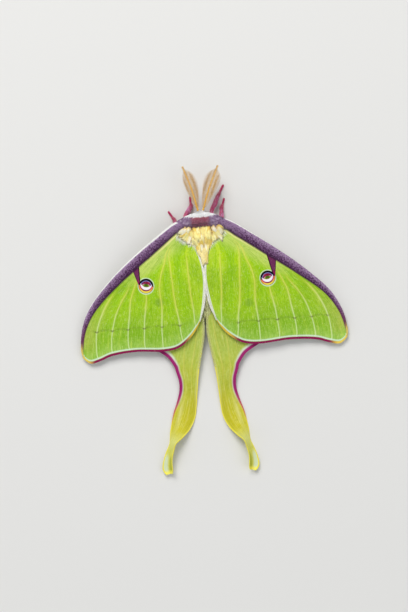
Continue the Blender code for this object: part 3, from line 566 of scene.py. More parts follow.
def effect(name, inputs, outputs):
    """A new group of nodes: its tools, what it is given and what it gives, both by name."""
    group = bpy.data.node_groups.new(name, "ShaderNodeTree")
    for way, sockets in (("INPUT", inputs), ("OUTPUT", outputs)):
        for label, kind in sockets.items():
            group.interface.new_socket(label, in_out=way, socket_type="NodeSocket" + kind)
    given = group.nodes.new("NodeGroupInput").outputs
    gives = group.nodes.new("NodeGroupOutput").inputs
    return Nodes(group), given, gives


def scale_grain_group():
    """Node group: streaks and ribs of scales that run with the veins, and single scales and grit."""
    tools, given, gives = effect(
        "scale_grain",
        {"Lengthwise": "Vector", "Place": "Vector", "Rib Scale": "Float"},
        {"Streaks": "Float", "Ribs": "Float", "Specks": "Float", "Grit": "Float"},
    )
    lengthwise, place = given["Lengthwise"], given["Place"]
    streaks = tools.node("TexNoise", 0, Vector=lengthwise, Scale=1.0, Detail=4.0, Roughness=0.65)
    ribs = tools.node("TexNoise", 0, Vector=lengthwise, Scale=given["Rib Scale"], Detail=3.0, Roughness=0.7)
    tools.set(gives["Streaks"], streaks)
    tools.set(gives["Ribs"], ribs)
    tools.set(gives["Specks"], tools.mottle(2600, 1.0, place))
    tools.set(gives["Grit"], tools.mottle(1300, 2.0, place))
    return tools.tree


def eyespot(finish, base, x, y):
    """The eyespot laid over a colour: a lens under a dark lid, a white crescent, maroon and yellow."""
    step, near, both, over = finish.step, finish.near, finish.both, finish.over
    level, plumb = math.cos(EYESPOT_TILT), math.sin(EYESPOT_TILT)
    p = finish.maths("ADD", both(x, level), both(y, plumb))
    q = finish.maths("SUBTRACT", both(y, level), both(x, plumb))
    off = finish.maths("ABSOLUTE", p)

    def inside(up, radius):
        return finish.disc(p, q, (0, up), radius, 0.06)

    upper = step(q, 0.0, 0.16)
    lower = step(q, 0.3, 0.05)
    gold = over((248, 226, 74), (240, 150, 50), step(off, 0.9, 2.1))
    maroon = over((140, 8, 62), (206, 34, 120), step(off, 0.5, 1.7))
    green = over((64, 104, 6), (150, 158, 30), step(off, 0.3, 0.8))
    green = over(green, (176, 130, 70), both(step(q, 0.05, -0.15), near(p, 0, 0.15, 0.25)))
    return finish.layers(
        base,
        ((84, 96, 84), both(lower, inside(0.1, 2.38))),
        (gold, both(lower, inside(0.14, 2.28))),
        (maroon, both(step(q, 0.5, 0.2), inside(0.4, 2.02))),
        ((0, 2, 14), both(upper, inside(0, 2.32))),
        ((120, 126, 196), both(upper, inside(-0.05, 1.74))),
        ((128, 6, 60), both(upper, inside(-0.08, 1.56))),
        ((196, 60, 60), both(near(p, -0.7, 0.3, 0.3), near(q, 1.15, 0.2, 0.25), 0.8)),
        ((226, 150, 212), both(inside(1.4, 1.9), inside(-0.95, 1.75), step(off, 0.3, 1.0), 0.85)),
        ((255, 250, 255), both(inside(0.56, 1.76), finish.maths("SUBTRACT", 1.0, inside(1.72, 2.04)))),
        (green, both(inside(-0.92, 1.56), inside(1.2, 1.58))),
    )


def forewing_finish():
    """The forewings' scales: greens, veins, margins, the costal band, its stalk and the eyespot."""
    finish = Finish("forewing_scales", 0.75)
    step, near, both, over, layers = finish.step, finish.near, finish.both, finish.over, finish.layers
    from_band, to_inner, to_outer = finish.parts("margins")
    level, share, away = finish.parts("course")
    spot_x, spot_y, strength = finish.parts("spot")
    ghost_x, ghost_y, white_rim = finish.parts("ghost")
    off_stalk, half_stalk, _ = finish.parts("stalk")
    fan, hollow, _ = finish.parts("fan")

    # Streaks of scales run with the veins, over soft clouds and single pale scales.
    lengthwise = finish.node("CombineXYZ", 0, X=both(fan, 8.0), Y=both(level, 5.0))
    streaks, ribs, specks, grit = finish.grouped(
        scale_grain, Lengthwise=lengthwise, Place=finish.node("TexCoord", 3), Rib_Scale=3.2
    )
    through = finish.disc(ghost_x, ghost_y, (0, 0), 1.3, 0.5)
    green = layers(
        (190, 226, 10),
        ((168, 208, 16), step(level, 0.12, 0.5)),
        ((142, 190, 42), step(level, 0.6, 0.9)),
        # A deeper green painted in the hollows between the veins, as painted shade of the pleats.
        ((154, 206, 2), both(hollow, step(level, 0.85, 0.6))),
        ((198, 220, 104), both(step(from_band, 6.5, 2.0), step(level, 0.56, 0.36))),
        ((172, 190, 76), both(step(from_band, 7.5, 0.5), step(level, 0.5, 0.95))),
        ((190, 222, 44), both(step(to_inner, 6.0, 1.0), 0.7)),
        ((160, 203, 86), both(step(to_outer, 5.5, 1.0), step(level, 0.65, 0.9))),
        ((126, 180, 8), both(step(streaks, 0.52, 0.34), 0.45)),
        ((212, 230, 84), both(step(streaks, 0.52, 0.72), 0.42)),
        ((124, 176, 14), both(step(finish.mottle(110), 0.5, 0.68), 0.4)),
        ((226, 238, 150), both(step(ribs, 0.52, 0.7), 0.46)),
        ((112, 160, 20), both(step(ribs, 0.46, 0.32), 0.4)),
        ((206, 226, 96), both(step(grit, 0.54, 0.7), 0.2)),
        ((110, 156, 16), both(step(grit, 0.46, 0.32), 0.26)),
        ((112, 150, 60), both(through, 0.4)),
    )
    # Veins lie in a broad pale line, yellow near the body and whiter past the line across the wing.
    vein = over((222, 226, 96), (222, 238, 170), step(level, 0.55, 0.85))
    bent = finish.maths("ADD", spot_y, both(step(away, 1.2, 0.0), 0.45))
    ends = both(step(spot_x, -12.5, -9.0), step(spot_x, 19.0, 17.0))
    patchy = step(finish.mottle(500), 0.3, 0.6)
    green = layers(
        green,
        (vein, both(step(away, 0.65, 0.1), strength, step(level, 0.95, 0.5), 0.34)),
        (vein, both(step(away, 0.26, 0.08), strength, 0.66)),
        ((104, 122, 50), both(near(bent, -LINE_BELOW_SPOT, 0.3, 0.3), ends, patchy, 0.34)),
        ((84, 66, 46), both(near(bent, -LINE_BELOW_SPOT, 0.2, 0.16), ends, step(away, 0.9, 0.3), 0.5)),
    )
    # Margins: a white line inside a maroon rim that turns to gold at both its ends.
    rim = over((224, 190, 62), (140, 20, 76), step(spot_x, -13.5, -10.0))
    rim = over(rim, (240, 208, 84), step(spot_x, 17.5, 20.5))
    tight = both(to_inner, finish.maths("ADD", both(step(level, 0.7, 0.25), 1.5), 1.0))
    gold = over((236, 234, 190), (214, 190, 60), step(level, 0.45, 0.8))
    green = layers(
        green,
        ((222, 242, 222), both(near(to_outer, 1.0, 0.22, 0.26), step(level, 0.6, 0.8), 0.9)),
        (rim, both(step(to_outer, 0.82, 0.62), step(level, 0.5, 0.6))),
        ((246, 250, 240), both(near(tight, 0.5, 0.2, 0.16), step(level, 1.0, 0.9))),
        (gold, step(tight, 0.3, 0.16)),
        ((238, 232, 150), both(near(from_band, 0.45, 0.3, 0.25), step(level, 0.4, 0.1))),
    )
    # The costal band, with its stalk down to the eyespot. The roll is painted paler on its front and top,
    # partly real pale scales and partly a painted highlight, and darker on its inner slope as painted shade.
    grain = finish.mottle(2400, detail=5.0)
    purple = layers(
        (80, 36, 82),
        ((152, 112, 158), step(grain, 0.42, 0.62)),
        ((184, 152, 190), both(step(share, 0.62, 0.15), step(grain, 0.3, 0.56))),
        ((62, 18, 60), both(step(share, 0.66, 0.97), 0.9)),
        ((116, 54, 90), step(level, 0.75, 0.95)),
        ((172, 140, 178), both(step(level, 0.2, 0.03), step(share, 1.0, 0.7), step(grain, 0.3, 0.5), 0.8)),
    )
    beside = finish.maths("SUBTRACT", finish.maths("ABSOLUTE", off_stalk), half_stalk)
    on_stalk = both(step(beside, 0.08, -0.08), step(spot_y, -0.4, 0.1), step(spot_y, 9.0, 8.0))
    stalk = layers(
        (112, 44, 88),
        ((66, 8, 52), step(beside, -0.4, -0.1)),
        ((150, 12, 84), step(spot_y, 2.6, 1.0)),
        ((10, 0, 12), both(step(beside, -0.32, -0.2), step(off_stalk, 0.05, -0.05))),
    )
    halo = finish.disc(spot_x, spot_y, (0, -0.02), 2.6, 0.14)
    colour = layers(green, ((218, 240, 202), both(halo, 0.9)), (stalk, on_stalk))
    colour = eyespot(finish, colour, spot_x, spot_y)
    brim = finish.maths("SUBTRACT", share, both(white_rim, 0.3))
    colour = layers(
        colour,
        (purple, both(step(from_band, 0.1, -0.1), step(level, 0.985, 0.93))),
        ((240, 212, 104), both(step(level, 0.9, 0.96), step(share, 0.9, 0.4))),
        ((255, 254, 250), both(step(brim, 0.02, -0.03), finish.maths("GREATER_THAN", white_rim, 0.01))),
        ((255, 255, 255), both(step(specks, 0.62, 0.8), 0.12)),
    )
    finish.surface(colour, Sheen_Weight=0.06, Specular_IOR_Level=0.15)
    finish.bump(finish.maths("ADD", both(streaks, 0.7), both(specks, 0.3)), 0.0001)
    return finish.material


scale_grain = scale_grain_group()
forewing_scales = forewing_finish()
for side in (RIGHT, LEFT):
    dress(forewing(side), forewing_scales, "wing_green", f"forewing_{SIDE_NAME[side]}")

# The hindwings with their long tails: each one piece of membrane, palest at the body, under the
# forewing down to where its tail begins. The tail is a limp ribbon that lies along the floor,
# turns on edge where it was folded in the cocoon, and ends in a small cupped spoon.
HINDWING_DROP = 1.2
HINDWING_PIVOT = (4.0, -3.5)
HINDWING_TURN = {RIGHT: -2.4, LEFT: 2.4}
HINDWING_COSTA = [(10.5, -3.4), (17.0, -7.5), (22.8, -13.0), (26.2, -19.0)]
HINDWING_OUTER = [
    (26.2, -19.0), (26.6, -23.0), (24.6, -27.6), (20.6, -31.7), (15.9, -34.6), (12.3, -37.0),
    (10.2, -40.0), (9.85, -41.0),
]
HINDWING_INNER = [
    (4.4, -8.5), (4.0, -13.0), (3.0, -17.4), (1.5, -21.4), (0.5, -25.0),
    (0.35, -29.0), (0.85, -33.3), (2.35, -41.0),
]
HINDWING_ROOT = [(5.3, -1.8), (4.6, -3.0), (3.7, -4.2), (2.5, -5.2)]
HINDWING_VEINS = [
    (0.1, [(0, 0.16), (1, 0.14)]),
    (0.1, [(0, 0.36), (1, 0.36)]),
    (0.1, [(0, 0.6), (0.6, 0.66), (1, 0.78)]),
    (0.1, [(0, 0.78), (0.6, 0.8), (1, 0.865)]),
    (0.1, [(0, 0.91), (1, 0.93)]),
]
HINDWING_CORNERS = [(15.9, -34.6), (12.3, -37.0), (10.4, -39.6)]
TAIL_CORNER = (9.85, -41.0)
TAIL_MIDDLE, TAIL_HALF = 6.1, 3.75
# The long furrows of the tail: their depth, place across it and half width.
TAIL_FURROWS = [(0.16, -0.35, 0.16), (0.12, 0.3, 0.14)]
HINDWING_ROWS = 110
TAIL_ROWS = 130
# Tail: y, x, half width as seen from above, roll in degrees, centre height.
TAIL_STATIONS = [
    (-41.3, 6.05, 3.62, 0, None),
    (-44.5, 5.9, 3.02, 2, 1.45),
    (-48.0, 6.1, 2.85, 3, 0.75),
    (-51.8, 6.75, 3.15, 2, 0.32),
    (-55.2, 7.6, 3.45, 0, 0.3),
    (-58.4, 8.8, 3.1, 8, 0.65),
    (-61.4, 10.3, 2.1, 32, 1.5),
    (-63.8, 11.55, 1.0, 60, 2.0),
    (-66.2, 12.3, 1.05, 52, 1.9),
    (-68.8, 12.95, 1.3, 38, 1.6),
    (-71.3, 13.1, 1.6, 30, 1.35),
    (-73.4, 12.7, 1.5, 24, 1.2),
]


def turned(x, y, side):
    """Plan point of the mean hindwing turned about its root to where this side holds it."""
    angle = math.radians(HINDWING_TURN[side])
    dx, dy = x - HINDWING_PIVOT[0], y - HINDWING_PIVOT[1]
    return (
        HINDWING_PIVOT[0] + dx * math.cos(angle) - dy * math.sin(angle),
        HINDWING_PIVOT[1] + dx * math.sin(angle) + dy * math.cos(angle),
    )


def distance_to(points, line):
    """Distance in the plan from each point of a grid to a line of many points."""
    flat = points.reshape(-1, 2)
    nearest = np.full(len(flat), 1e9)
    for place in line:
        nearest = np.minimum(nearest, np.hypot(*(flat - place).T))
    return nearest.reshape(points.shape[:2])


def hindwing(side):
    """The hindwing and tail of one side as one sheet."""
    rows = np.linspace(0, 1, HINDWING_ROWS + 1)
    root = curve_through(HINDWING_ROOT)
    costa = curve_through([HINDWING_ROOT[0], *HINDWING_COSTA])
    across_tail = np.linspace(HINDWING_OUTER[-1], HINDWING_INNER[-1], 500)[1:]
    dense = np.vstack([curve_through(HINDWING_OUTER, samples=1400)[0], across_tail])
    lengths = np.concatenate([[0], np.cumsum(np.linalg.norm(np.diff(dense, axis=0), axis=1))])
    shares = lengths / lengths[-1]
    inner = curve_through([HINDWING_ROOT[-1], *HINDWING_INNER])

    def share_at(corner):
        return shares[np.argmin(np.hypot(*(dense - corner).T))]

    marks = [share_at(corner) for corner in (*HINDWING_CORNERS, TAIL_CORNER)]
    sides = (costa, inner, root, (dense, shares))
    plan, away, strength, hollow, fan = membrane(sides, HINDWING_VEINS, rows, marks)
    first = int(np.argmin(np.hypot(*(plan[-1] - TAIL_CORNER).T)))
    x, y = turned(plan[..., 0], plan[..., 1], side)
    z = roof(x, y) - HINDWING_DROP - 0.5 * PLEAT_DEPTH * hollow * eased(rows, 0, 0.3)[:, None]
    wing_points = np.stack([x, y, z], -1)
    margin = dense[: int(np.argmin(np.hypot(*(dense - TAIL_CORNER).T)))]
    # Past the wing's last row the margins run on down the tail, drawn in a little.
    steps = range(1, 6)
    (outer_x, last_y), (inner_x, _) = TAIL_CORNER, HINDWING_INNER[-1]
    to_outer = distance_to(plan, [*margin[::6], *[(outer_x - 0.04 * k, last_y - k) for k in steps]])
    to_inner = distance_to(plan, [*inner[0][::6], *[(inner_x + 0.02 * k, last_y - k) for k in steps]])

    stations = np.array([[s[1], s[0], s[2], s[3]] for s in TAIL_STATIONS], float)
    tail_x, tail_y = turned(stations[:, 0], stations[:, 1], side)
    height = np.array([0 if s[4] is None else s[4] for s in TAIL_STATIONS], float)
    height[0] = roof(tail_x[0], tail_y[0]) - HINDWING_DROP
    path = curve_through(np.stack([tail_x, tail_y, height, stations[:, 2], stations[:, 3]], 1))
    places = along(path, np.linspace(0, 1, TAIL_ROWS + 1))
    centre = places[:, :3]
    forward = np.gradient(centre, axis=0)
    forward /= np.linalg.norm(forward, axis=1, keepdims=True)
    next_x, next_y = turned(stations[0, 0], stations[0, 1] - 1, side)
    forward[0] = (next_x - tail_x[0], next_y - tail_y[0], 0)
    level = np.cross(forward, (0, 0, 1.0))
    level *= -np.sign(level[:, :1])
    level /= np.linalg.norm(level, axis=1, keepdims=True)
    normal = np.cross(forward, level)
    normal *= np.sign(normal[:, 2:])
    roll = np.radians(places[:, 4])[:, None]
    lateral = level * np.cos(roll) + normal * np.sin(roll)
    upward = normal * np.cos(roll) - level * np.sin(roll)
    half = (places[:, 3] / np.cos(roll[:, 0]))[:, None]
    across = (TAIL_MIDDLE - plan[-1, first:, 0]) / TAIL_HALF
    tip_share = np.linspace(0, 1, TAIL_ROWS + 1)
    cup = 0.5 * np.clip((tip_share - 0.75) / 0.2, 0, 1)[:, None]
    rounding = np.sqrt(np.clip(1 - ((tip_share - 0.93) / 0.085).clip(0, 1) ** 2.2, 0.06, 1))[:, None]
    narrowed = half * rounding
    crease = sum(deep * np.exp(-(((across - at) / wide) ** 2)) for deep, at, wide in TAIL_FURROWS)
    furrow = crease[None, :] * (1 - eased(tip_share, 0.6, 0.8))[:, None]
    lift = cup * across[None, :] ** 2 * half - furrow
    tail_points = centre[:, None, :] + (narrowed * across)[..., None] * lateral[:, None, :]
    tail_points = tail_points + lift[..., None] * upward[:, None, :]
    # The ribbon takes over from the wing gently, so that the two share their first row.
    start = wing_points[-1, first:]
    handover = (1 - eased(tip_share, 0, 0.12))[:, None, None]
    tail_points = tail_points + handover * (start - tail_points[0])[None]
    tail_points[..., 2] = np.maximum(tail_points[..., 2], (MEMBRANE + VEIN_SWELL) / 2 + 0.02)

    def made(points, course, inner_edge, outer_edge, off, power, place, part):
        shown = points.copy()
        shown[..., 0] *= side
        thickness = MEMBRANE + VEIN_SWELL * 0.7 * np.exp(-((off / VEIN_HALF_WIDTH) ** 2)) * power
        facts = {
            "margins": np.stack([0 * off, inner_edge, outer_edge], -1),
            "course": np.stack([course, power, off], -1),
            "ribbon": np.stack(np.broadcast_arrays(*place), -1),
            "thickness": thickness,
        }
        return grid(f"{part}_{SIDE_NAME[side]}", shown, facts)

    fade = (1 - eased(tip_share, 0.5, 0.85))[:, None]
    tail_away = np.broadcast_to(away[-1, first:], tail_points.shape[:2])
    tail_power = fade * strength[-1, first:]
    down_tail = stations[0, 1] + (stations[-1, 1] - stations[0, 1]) * tip_share
    pieces = [
        made(wing_points, plan[..., 1], to_inner, to_outer, away, strength, (fan, 0, 0), "hindwing_scales"),
        made(
            tail_points,
            np.broadcast_to(down_tail[:, None], tail_away.shape),
            (1 - across) * narrowed,
            (1 + across) * narrowed,
            tail_away,
            tail_power,
            (fan[-1:, first:], across[None], tip_share[:, None]),
            "tail_scales",
        ),
    ]
    return two_faced(pieces)


def hindwing_finish():
    """The hindwings' scales: pale green to yellow down the tail, with a maroon and white margin."""
    finish = Finish("hindwing_scales", 0.72)
    step, near, both, over, layers = finish.step, finish.near, finish.both, finish.over, finish.layers
    _, to_inner, to_outer = finish.parts("margins")
    course, strength, away = finish.parts("course")
    fan, across, along_tail = finish.parts("ribbon")
    lengthwise = finish.node("CombineXYZ", 0, X=both(fan, 8.0), Y=both(course, 0.2))
    streaks, ribs, specks, grit = finish.grouped(
        scale_grain, Lengthwise=lengthwise, Place=finish.node("TexCoord", 3), Rib_Scale=3.0
    )
    colour = layers(
        (180, 198, 80),
        ((188, 196, 62), step(course, -34, -44)),
        ((206, 198, 44), step(course, -44, -58)),
        ((216, 214, 90), step(course, -62, -68)),
        ((140, 190, 104), both(step(ribs, 0.5, 0.7), step(course, -52, -42), 0.5)),
        ((228, 228, 146), both(step(streaks, 0.5, 0.7), 0.55)),
        ((158, 166, 28), both(step(streaks, 0.5, 0.32), 0.5)),
        ((220, 220, 120), both(step(grit, 0.53, 0.7), 0.2)),
        ((146, 148, 32), both(step(grit, 0.47, 0.32), 0.2)),
    )
    # The tail is painted a darker olive where it turns over, a painted shade, with a painted highlight along
    # its outer half, and its spoon is olive on the inner side and whitish on the outer one. The veins are
    # faint yellow lines.
    turned_shade = both(step(across, -0.1, 0.75), step(along_tail, 0.1, 0.35), step(along_tail, 0.64, 0.52))
    in_spoon = step(along_tail, 0.8, 0.87)
    colour = layers(
        colour,
        ((184, 176, 26), both(turned_shade, 0.55)),
        ((234, 232, 160), both(near(across, -0.42, 0.1, 0.26), near(along_tail, 0.44, 0.1, 0.16), 0.75)),
        ((224, 228, 150), both(near(along_tail, 0.7, 0.06, 0.08), 0.6)),
        ((170, 176, 44), both(in_spoon, step(across, 0.0, 0.5), 0.75)),
        ((214, 230, 206), both(in_spoon, step(across, 0.1, -0.4), 0.75)),
        ((224, 216, 104), both(step(away, 0.4, 0.06), strength, 0.34)),
        ((232, 228, 150), both(step(to_inner, 1.2, 0.3), step(course, -56, -44), 0.5)),
    )
    # The outer margin: a lilac edge inside the maroon rim, and a pale band that narrows to the tail.
    pale_width = finish.maths("ADD", 1.25, both(step(course, -42, -36), 0.5))
    inside_band = step(finish.maths("SUBTRACT", to_outer, pale_width), 0.35, -0.6)
    rim_width = finish.maths("ADD", 0.32, both(step(course, -57, -46), 0.62))
    beside = finish.maths("SUBTRACT", to_outer, rim_width)
    rim = over((206, 108, 92), (160, 36, 108), step(course, -56, -48))
    rim = over((240, 226, 66), rim, step(course, -60, -55))
    colour = layers(
        colour,
        ((228, 240, 222), both(inside_band, step(course, -54, -46), 0.8)),
        ((196, 128, 172), both(step(beside, 0.3, 0.0), step(course, -56, -50), 0.8)),
        (rim, step(beside, 0.1, -0.16)),
        ((240, 228, 84), both(step(to_inner, 0.42, 0.2), step(course, -26, -40))),
        ((250, 240, 92), both(step(along_tail, 0.955, 0.985), 0.9)),
    )
    finish.surface(colour, Sheen_Weight=0.06, Specular_IOR_Level=0.15)
    finish.bump(finish.maths("ADD", both(streaks, 0.6), both(specks, 0.4)), 0.00006)
    return finish.material


hindwing_scales = hindwing_finish()
for side in (RIGHT, LEFT):
    nodes = (f"hindwing_{SIDE_NAME[side]}", f"tail_{SIDE_NAME[side]}")
    dress(hindwing(side), hindwing_scales, "tail_yellow", *nodes)

# The skin of the body: head, collar, thorax and ringed abdomen in one soft hide with no seam.
# It lies under the coat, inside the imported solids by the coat's depth, and carries the same
# markings as the coat: a purple collar with a white front, cream wool and a white abdomen.
THORAX_SECTIONS = [
    (4.5, 1.9, 1.5, 4.9), (3.4, 2.8, 2.3, 5.0), (1.8, 3.8, 3.3, 5.4), (-0.8, 4.3, 3.9, 5.5),
    (-3.4, 3.9, 3.3, 4.9), (-5.4, 3.3, 2.6, 4.2),
]
ABDOMEN_SECTIONS = [
    (-5.7, 3.2, 2.6, 4.2), (-9.0, 3.5, 2.8, 3.8), (-13.0, 3.2, 2.6, 3.2), (-17.0, 2.4, 2.0, 2.5),
    (-19.6, 1.4, 1.3, 1.9), (-20.8, 0.5, 0.5, 1.6),
]
ABDOMEN_RINGS = 7
RING_FOLD = 0.2
HEAD_CENTRE = np.array((0.4, 5.75, 4.5))
HEAD_RADII = (2.0, 1.95, 1.85)
COLLAR_PATH = [
    (-9.2, 2.4, 7.1), (-6.8, 3.75, 7.5), (-4.5, 4.6, 7.9), (-2.4, 5.1, 8.25), (0.2, 5.4, 8.35),
    (2.8, 5.1, 8.25), (4.7, 4.6, 7.9), (7.0, 3.65, 7.5), (9.4, 2.3, 7.1),
]
COLLAR_HALF_DEPTH = (0.9, 2.0)
COLLAR_HALF_HEIGHT = (0.5, 1.25)
PALP_START = (0.62, 1.75, -1.55)
PALP_REACH = (0, 0.7, -1.0)
PALP_RADIUS = 0.38
COLLAR_ARC = 0.044
SHORT_COAT = 0.3
SKIN_VOXEL = 0.00016


def drawn_out(name, path, half_widths, half_heights, segments=24, rings=24, rounding=0.12):
    """A ball drawn out along a path, elliptical, with rounded ends and its own size at each place."""
    bpy.ops.object.select_all(action="DESELECT")
    bpy.ops.mesh.primitive_uv_sphere_add(segments=segments, ring_count=rings, radius=1)
    obj = bpy.context.object
    obj.name = name
    obj.data.name = name
    # The primitive gives its faces in another order each run, so they are put in one that stays.
    shape = bmesh.new()
    shape.from_mesh(obj.data)
    in_order = sorted(shape.faces, key=lambda face: [corner.index for corner in face.verts])
    for place, face in enumerate(in_order):
        face.index = place
    shape.faces.sort()
    shape.to_mesh(obj.data)
    shape.free()
    ball = points_of(obj)
    share = (1 - ball[:, 2]) / 2
    sizes = np.stack([np.broadcast_to(half_widths, len(path)), np.broadcast_to(half_heights, len(path))], 1)
    curve = curve_through(np.hstack([np.asarray(path, float), sizes]))
    near = along(curve, np.clip(share, 0, 1))
    ahead = along(curve, np.clip(share + 0.01, 0, 1)) - along(curve, np.clip(share - 0.01, 0, 1))
    forward = ahead[:, :3] / np.linalg.norm(ahead[:, :3], axis=1, keepdims=True)
    sideways = np.cross(forward, (0, 0, 1.0))
    sideways /= np.linalg.norm(sideways, axis=1, keepdims=True)
    up = np.cross(sideways, forward)
    to_end = np.clip(np.minimum(share, 1 - share) / rounding, 0, 1)
    full = np.sqrt(np.clip(1 - (1 - to_end) ** 2, 0, 1))
    around = np.arctan2(ball[:, 1], ball[:, 0])
    points = near[:, :3] + sideways * (near[:, 3] * full * np.cos(around))[:, None]
    points = points + up * (near[:, 4] * full * np.sin(around))[:, None]
    move_points(obj, placed(points))
    return obj


def body_skin():
    """The body's parts joined, remeshed as one hide and smoothed."""
    thorax = np.array(THORAX_SECTIONS)
    middle = np.stack([0 * thorax[:, 0], thorax[:, 0], thorax[:, 3]], 1)
    middle[0, 1] += 0.3
    middle[-1, 1] -= 0.6
    parts = [drawn_out("body_skin", middle, thorax[:, 1] - 0.1, thorax[:, 2] - 0.15, 32, 32, 0.06)]
    abdomen = curve_through(ABDOMEN_SECTIONS)
    rings = along(abdomen, np.linspace(0, 1, 15 * ABDOMEN_RINGS))
    share = np.linspace(0, 1, len(rings))
    fold = RING_FOLD * (0.5 + 0.5 * np.cos(2 * math.pi * ABDOMEN_RINGS * share)) ** 2 * (1 - share**4)
    middle = np.stack([0 * share, rings[:, 0], rings[:, 3]], 1)
    middle[0, 1] += 0.8
    slim = 1 - SHORT_COAT / np.maximum(rings[:, 1], 1.0)
    parts.append(
        drawn_out("abdomen", middle, rings[:, 1] * slim - fold, rings[:, 2] * slim - fold, 32, 120, 0.05)
    )
    x, y, z = HEAD_CENTRE
    wide, deep, high = (radius - SHORT_COAT * 0.6 for radius in HEAD_RADII)
    steps = np.linspace(-1, 1, 9)
    round_off = np.sqrt(1.02 - steps**2)
    path = [(x, y + deep * k, z) for k in steps]
    parts.append(drawn_out("head", path, wide * round_off, high * round_off, 24, 20, 0.02))
    places = np.linspace(0, 1, 23)
    path = along(curve_through(COLLAR_PATH), places)
    swell = np.sin(math.pi * places) ** 0.9
    depth = COLLAR_HALF_DEPTH[0] + (COLLAR_HALF_DEPTH[1] - COLLAR_HALF_DEPTH[0]) * swell
    height = COLLAR_HALF_HEIGHT[0] + (COLLAR_HALF_HEIGHT[1] - COLLAR_HALF_HEIGHT[0]) * swell
    parts.append(drawn_out("collar", path, depth - SHORT_COAT, height - SHORT_COAT, 28, 40, 0.12))
    for side in (RIGHT, LEFT):
        start = HEAD_CENTRE + np.array((side * PALP_START[0], PALP_START[1] - 0.5, PALP_START[2] + 0.4))
        reach = np.array(PALP_REACH) + (0, 0.35, -0.3)
        path = [start + reach * k for k in np.linspace(0, 1, 5)]
        parts.append(drawn_out("palp", path, PALP_RADIUS * 0.75, PALP_RADIUS * 0.75, 12, 12, 0.2))
    bpy.ops.object.select_all(action="DESELECT")
    for part in parts:
        part.select_set(True)
    skin = parts[0]
    bpy.context.view_layer.objects.active = skin
    bpy.ops.object.join()
    remesh = skin.modifiers.new("one_hide", "REMESH")
    remesh.mode = "VOXEL"
    remesh.voxel_size = SKIN_VOXEL
    bpy.ops.object.modifier_apply(modifier=remesh.name)
    soft = skin.modifiers.new("soft", "SMOOTH")
    soft.factor = 0.5
    soft.iterations = 4
    bpy.ops.object.modifier_apply(modifier=soft.name)
    bpy.ops.object.shade_smooth_by_angle(angle=math.radians(60))
    return skin


def body_markings():
    """Node group: the colour of the body's scales at a place on the skin."""
    tools, given, gives = effect("body_markings", {"Place": "Vector"}, {"Color": "Color"})
    step, both, over, layers, maths = tools.step, tools.both, tools.over, tools.layers, tools.maths
    x, y, z = tools.drawn(given["Place"])
    ragged = tools.mottle(1400, at=given["Place"])
    soft = tools.mottle(420, at=given["Place"])
    fine = tools.mottle(3000, detail=2.0, at=given["Place"])
    squared = both(x, x)
    wobble = both(maths("SUBTRACT", ragged, 0.5), 1.1)
    # The collar's front runs in an arc: how far ahead of it a place lies, with a ragged line.
    ahead = maths("ADD", maths("SUBTRACT", y, 5.4), both(squared, COLLAR_ARC))
    ahead = maths("ADD", ahead, wobble)
    wool = over((240, 222, 140), (250, 242, 200), step(soft, 0.35, 0.65))
    rear = over((236, 216, 170), (248, 243, 230), step(y, -6.5, -9))
    darker = over((84, 40, 86), (156, 118, 164), step(ragged, 0.4, 0.62))
    sides = layers(
        (134, 92, 142),
        ((198, 172, 204), step(ragged, 0.42, 0.66)),
        (darker, step(squared, 18, 44)),
    )
    patchy = maths("ADD", squared, both(wobble, 6.0))
    purple = layers(
        (150, 44, 88),
        ((184, 92, 130), step(ragged, 0.45, 0.7)),
        ((186, 52, 76), both(tools.near(ahead, 0.15, 0.2, 0.25), 0.75)),
        (sides, step(patchy, 3.4, 9.4)),
        ((74, 38, 80), step(ahead, -1.35, -1.95)),
        ((88, 46, 92), both(step(fine, 0.5, 0.7), 0.5)),
    )
    brink = maths("SUBTRACT", ahead, both(squared, 0.06))
    face = both(step(y, 4.4, 5.0), step(z, 6.8, 6.2))
    colour = layers(
        wool,
        (rear, step(y, -4.2, -6.2)),
        ((244, 240, 228), step(z, 4.2, 2.6)),
        (purple, both(step(ahead, -2.5, -2.1), step(z, 6.3, 7.0))),
        ((255, 255, 255), maths("MAXIMUM", step(brink, 0.3, 0.55), face)),
    )
    tools.set(gives["Color"], colour)
    return tools.tree


def tuft_shade_group():
    """Node group: a tuft's colour made lighter towards its tip and darker at its root, the darker root a
    painted shade.
    """
    tools, given, gives = effect(
        "tuft_shade", {"Color": "Color", "Share": "Float", "Tone": "Float"}, {"Color": "Color"}
    )
    colour = tools.over(given["Color"], (255, 252, 240), tools.both(given["Share"], 0.12))
    shade = tools.maths("ADD", tools.both(tools.step(given["Share"], 0.0, 0.4), 0.14), 0.84)
    shade = tools.maths("ADD", shade, tools.both(given["Tone"], 0.16))
    tools.set(gives["Color"], tools.times(colour, shade))
    return tools.tree


def bare_skin_group():
    """Node group: the skin between tufts, a little darker than they are, and its fine grain."""
    tools, given, gives = effect(
        "bare_skin", {"Color": "Color", "Place": "Vector"}, {"Color": "Color", "Height": "Float"}
    )
    tools.set(gives["Color"], tools.times(given["Color"], 0.88))
    tools.set(gives["Height"], tools.mottle(3200, at=given["Place"]))
    return tools.tree


def coat_finish(name, markings, roughness):
    """The finish of a coat: each tuft takes the markings at its root."""
    finish = Finish(name, roughness)
    root = finish.node("Attribute", 1, {"attribute_name": "root"})
    share, tone, _ = finish.parts("tuft")
    [marked] = finish.grouped(markings, Place=root)
    [colour] = finish.grouped(tuft_shade, Color=marked, Share=share, Tone=tone)
    finish.surface(colour, Sheen_Weight=0.3, Specular_IOR_Level=0.2)
    return finish.material


def skin_finish(name, markings, roughness):
    """The finish of a bare skin, with the markings at each place on it."""
    finish = Finish(name, roughness)
    place = finish.node("TexCoord", 3)
    [marked] = finish.grouped(markings, Place=place)
    colour, height = finish.grouped(bare_skin, Color=marked, Place=place)
    finish.surface(colour)
    finish.bump(height, 0.00008)
    return finish.material


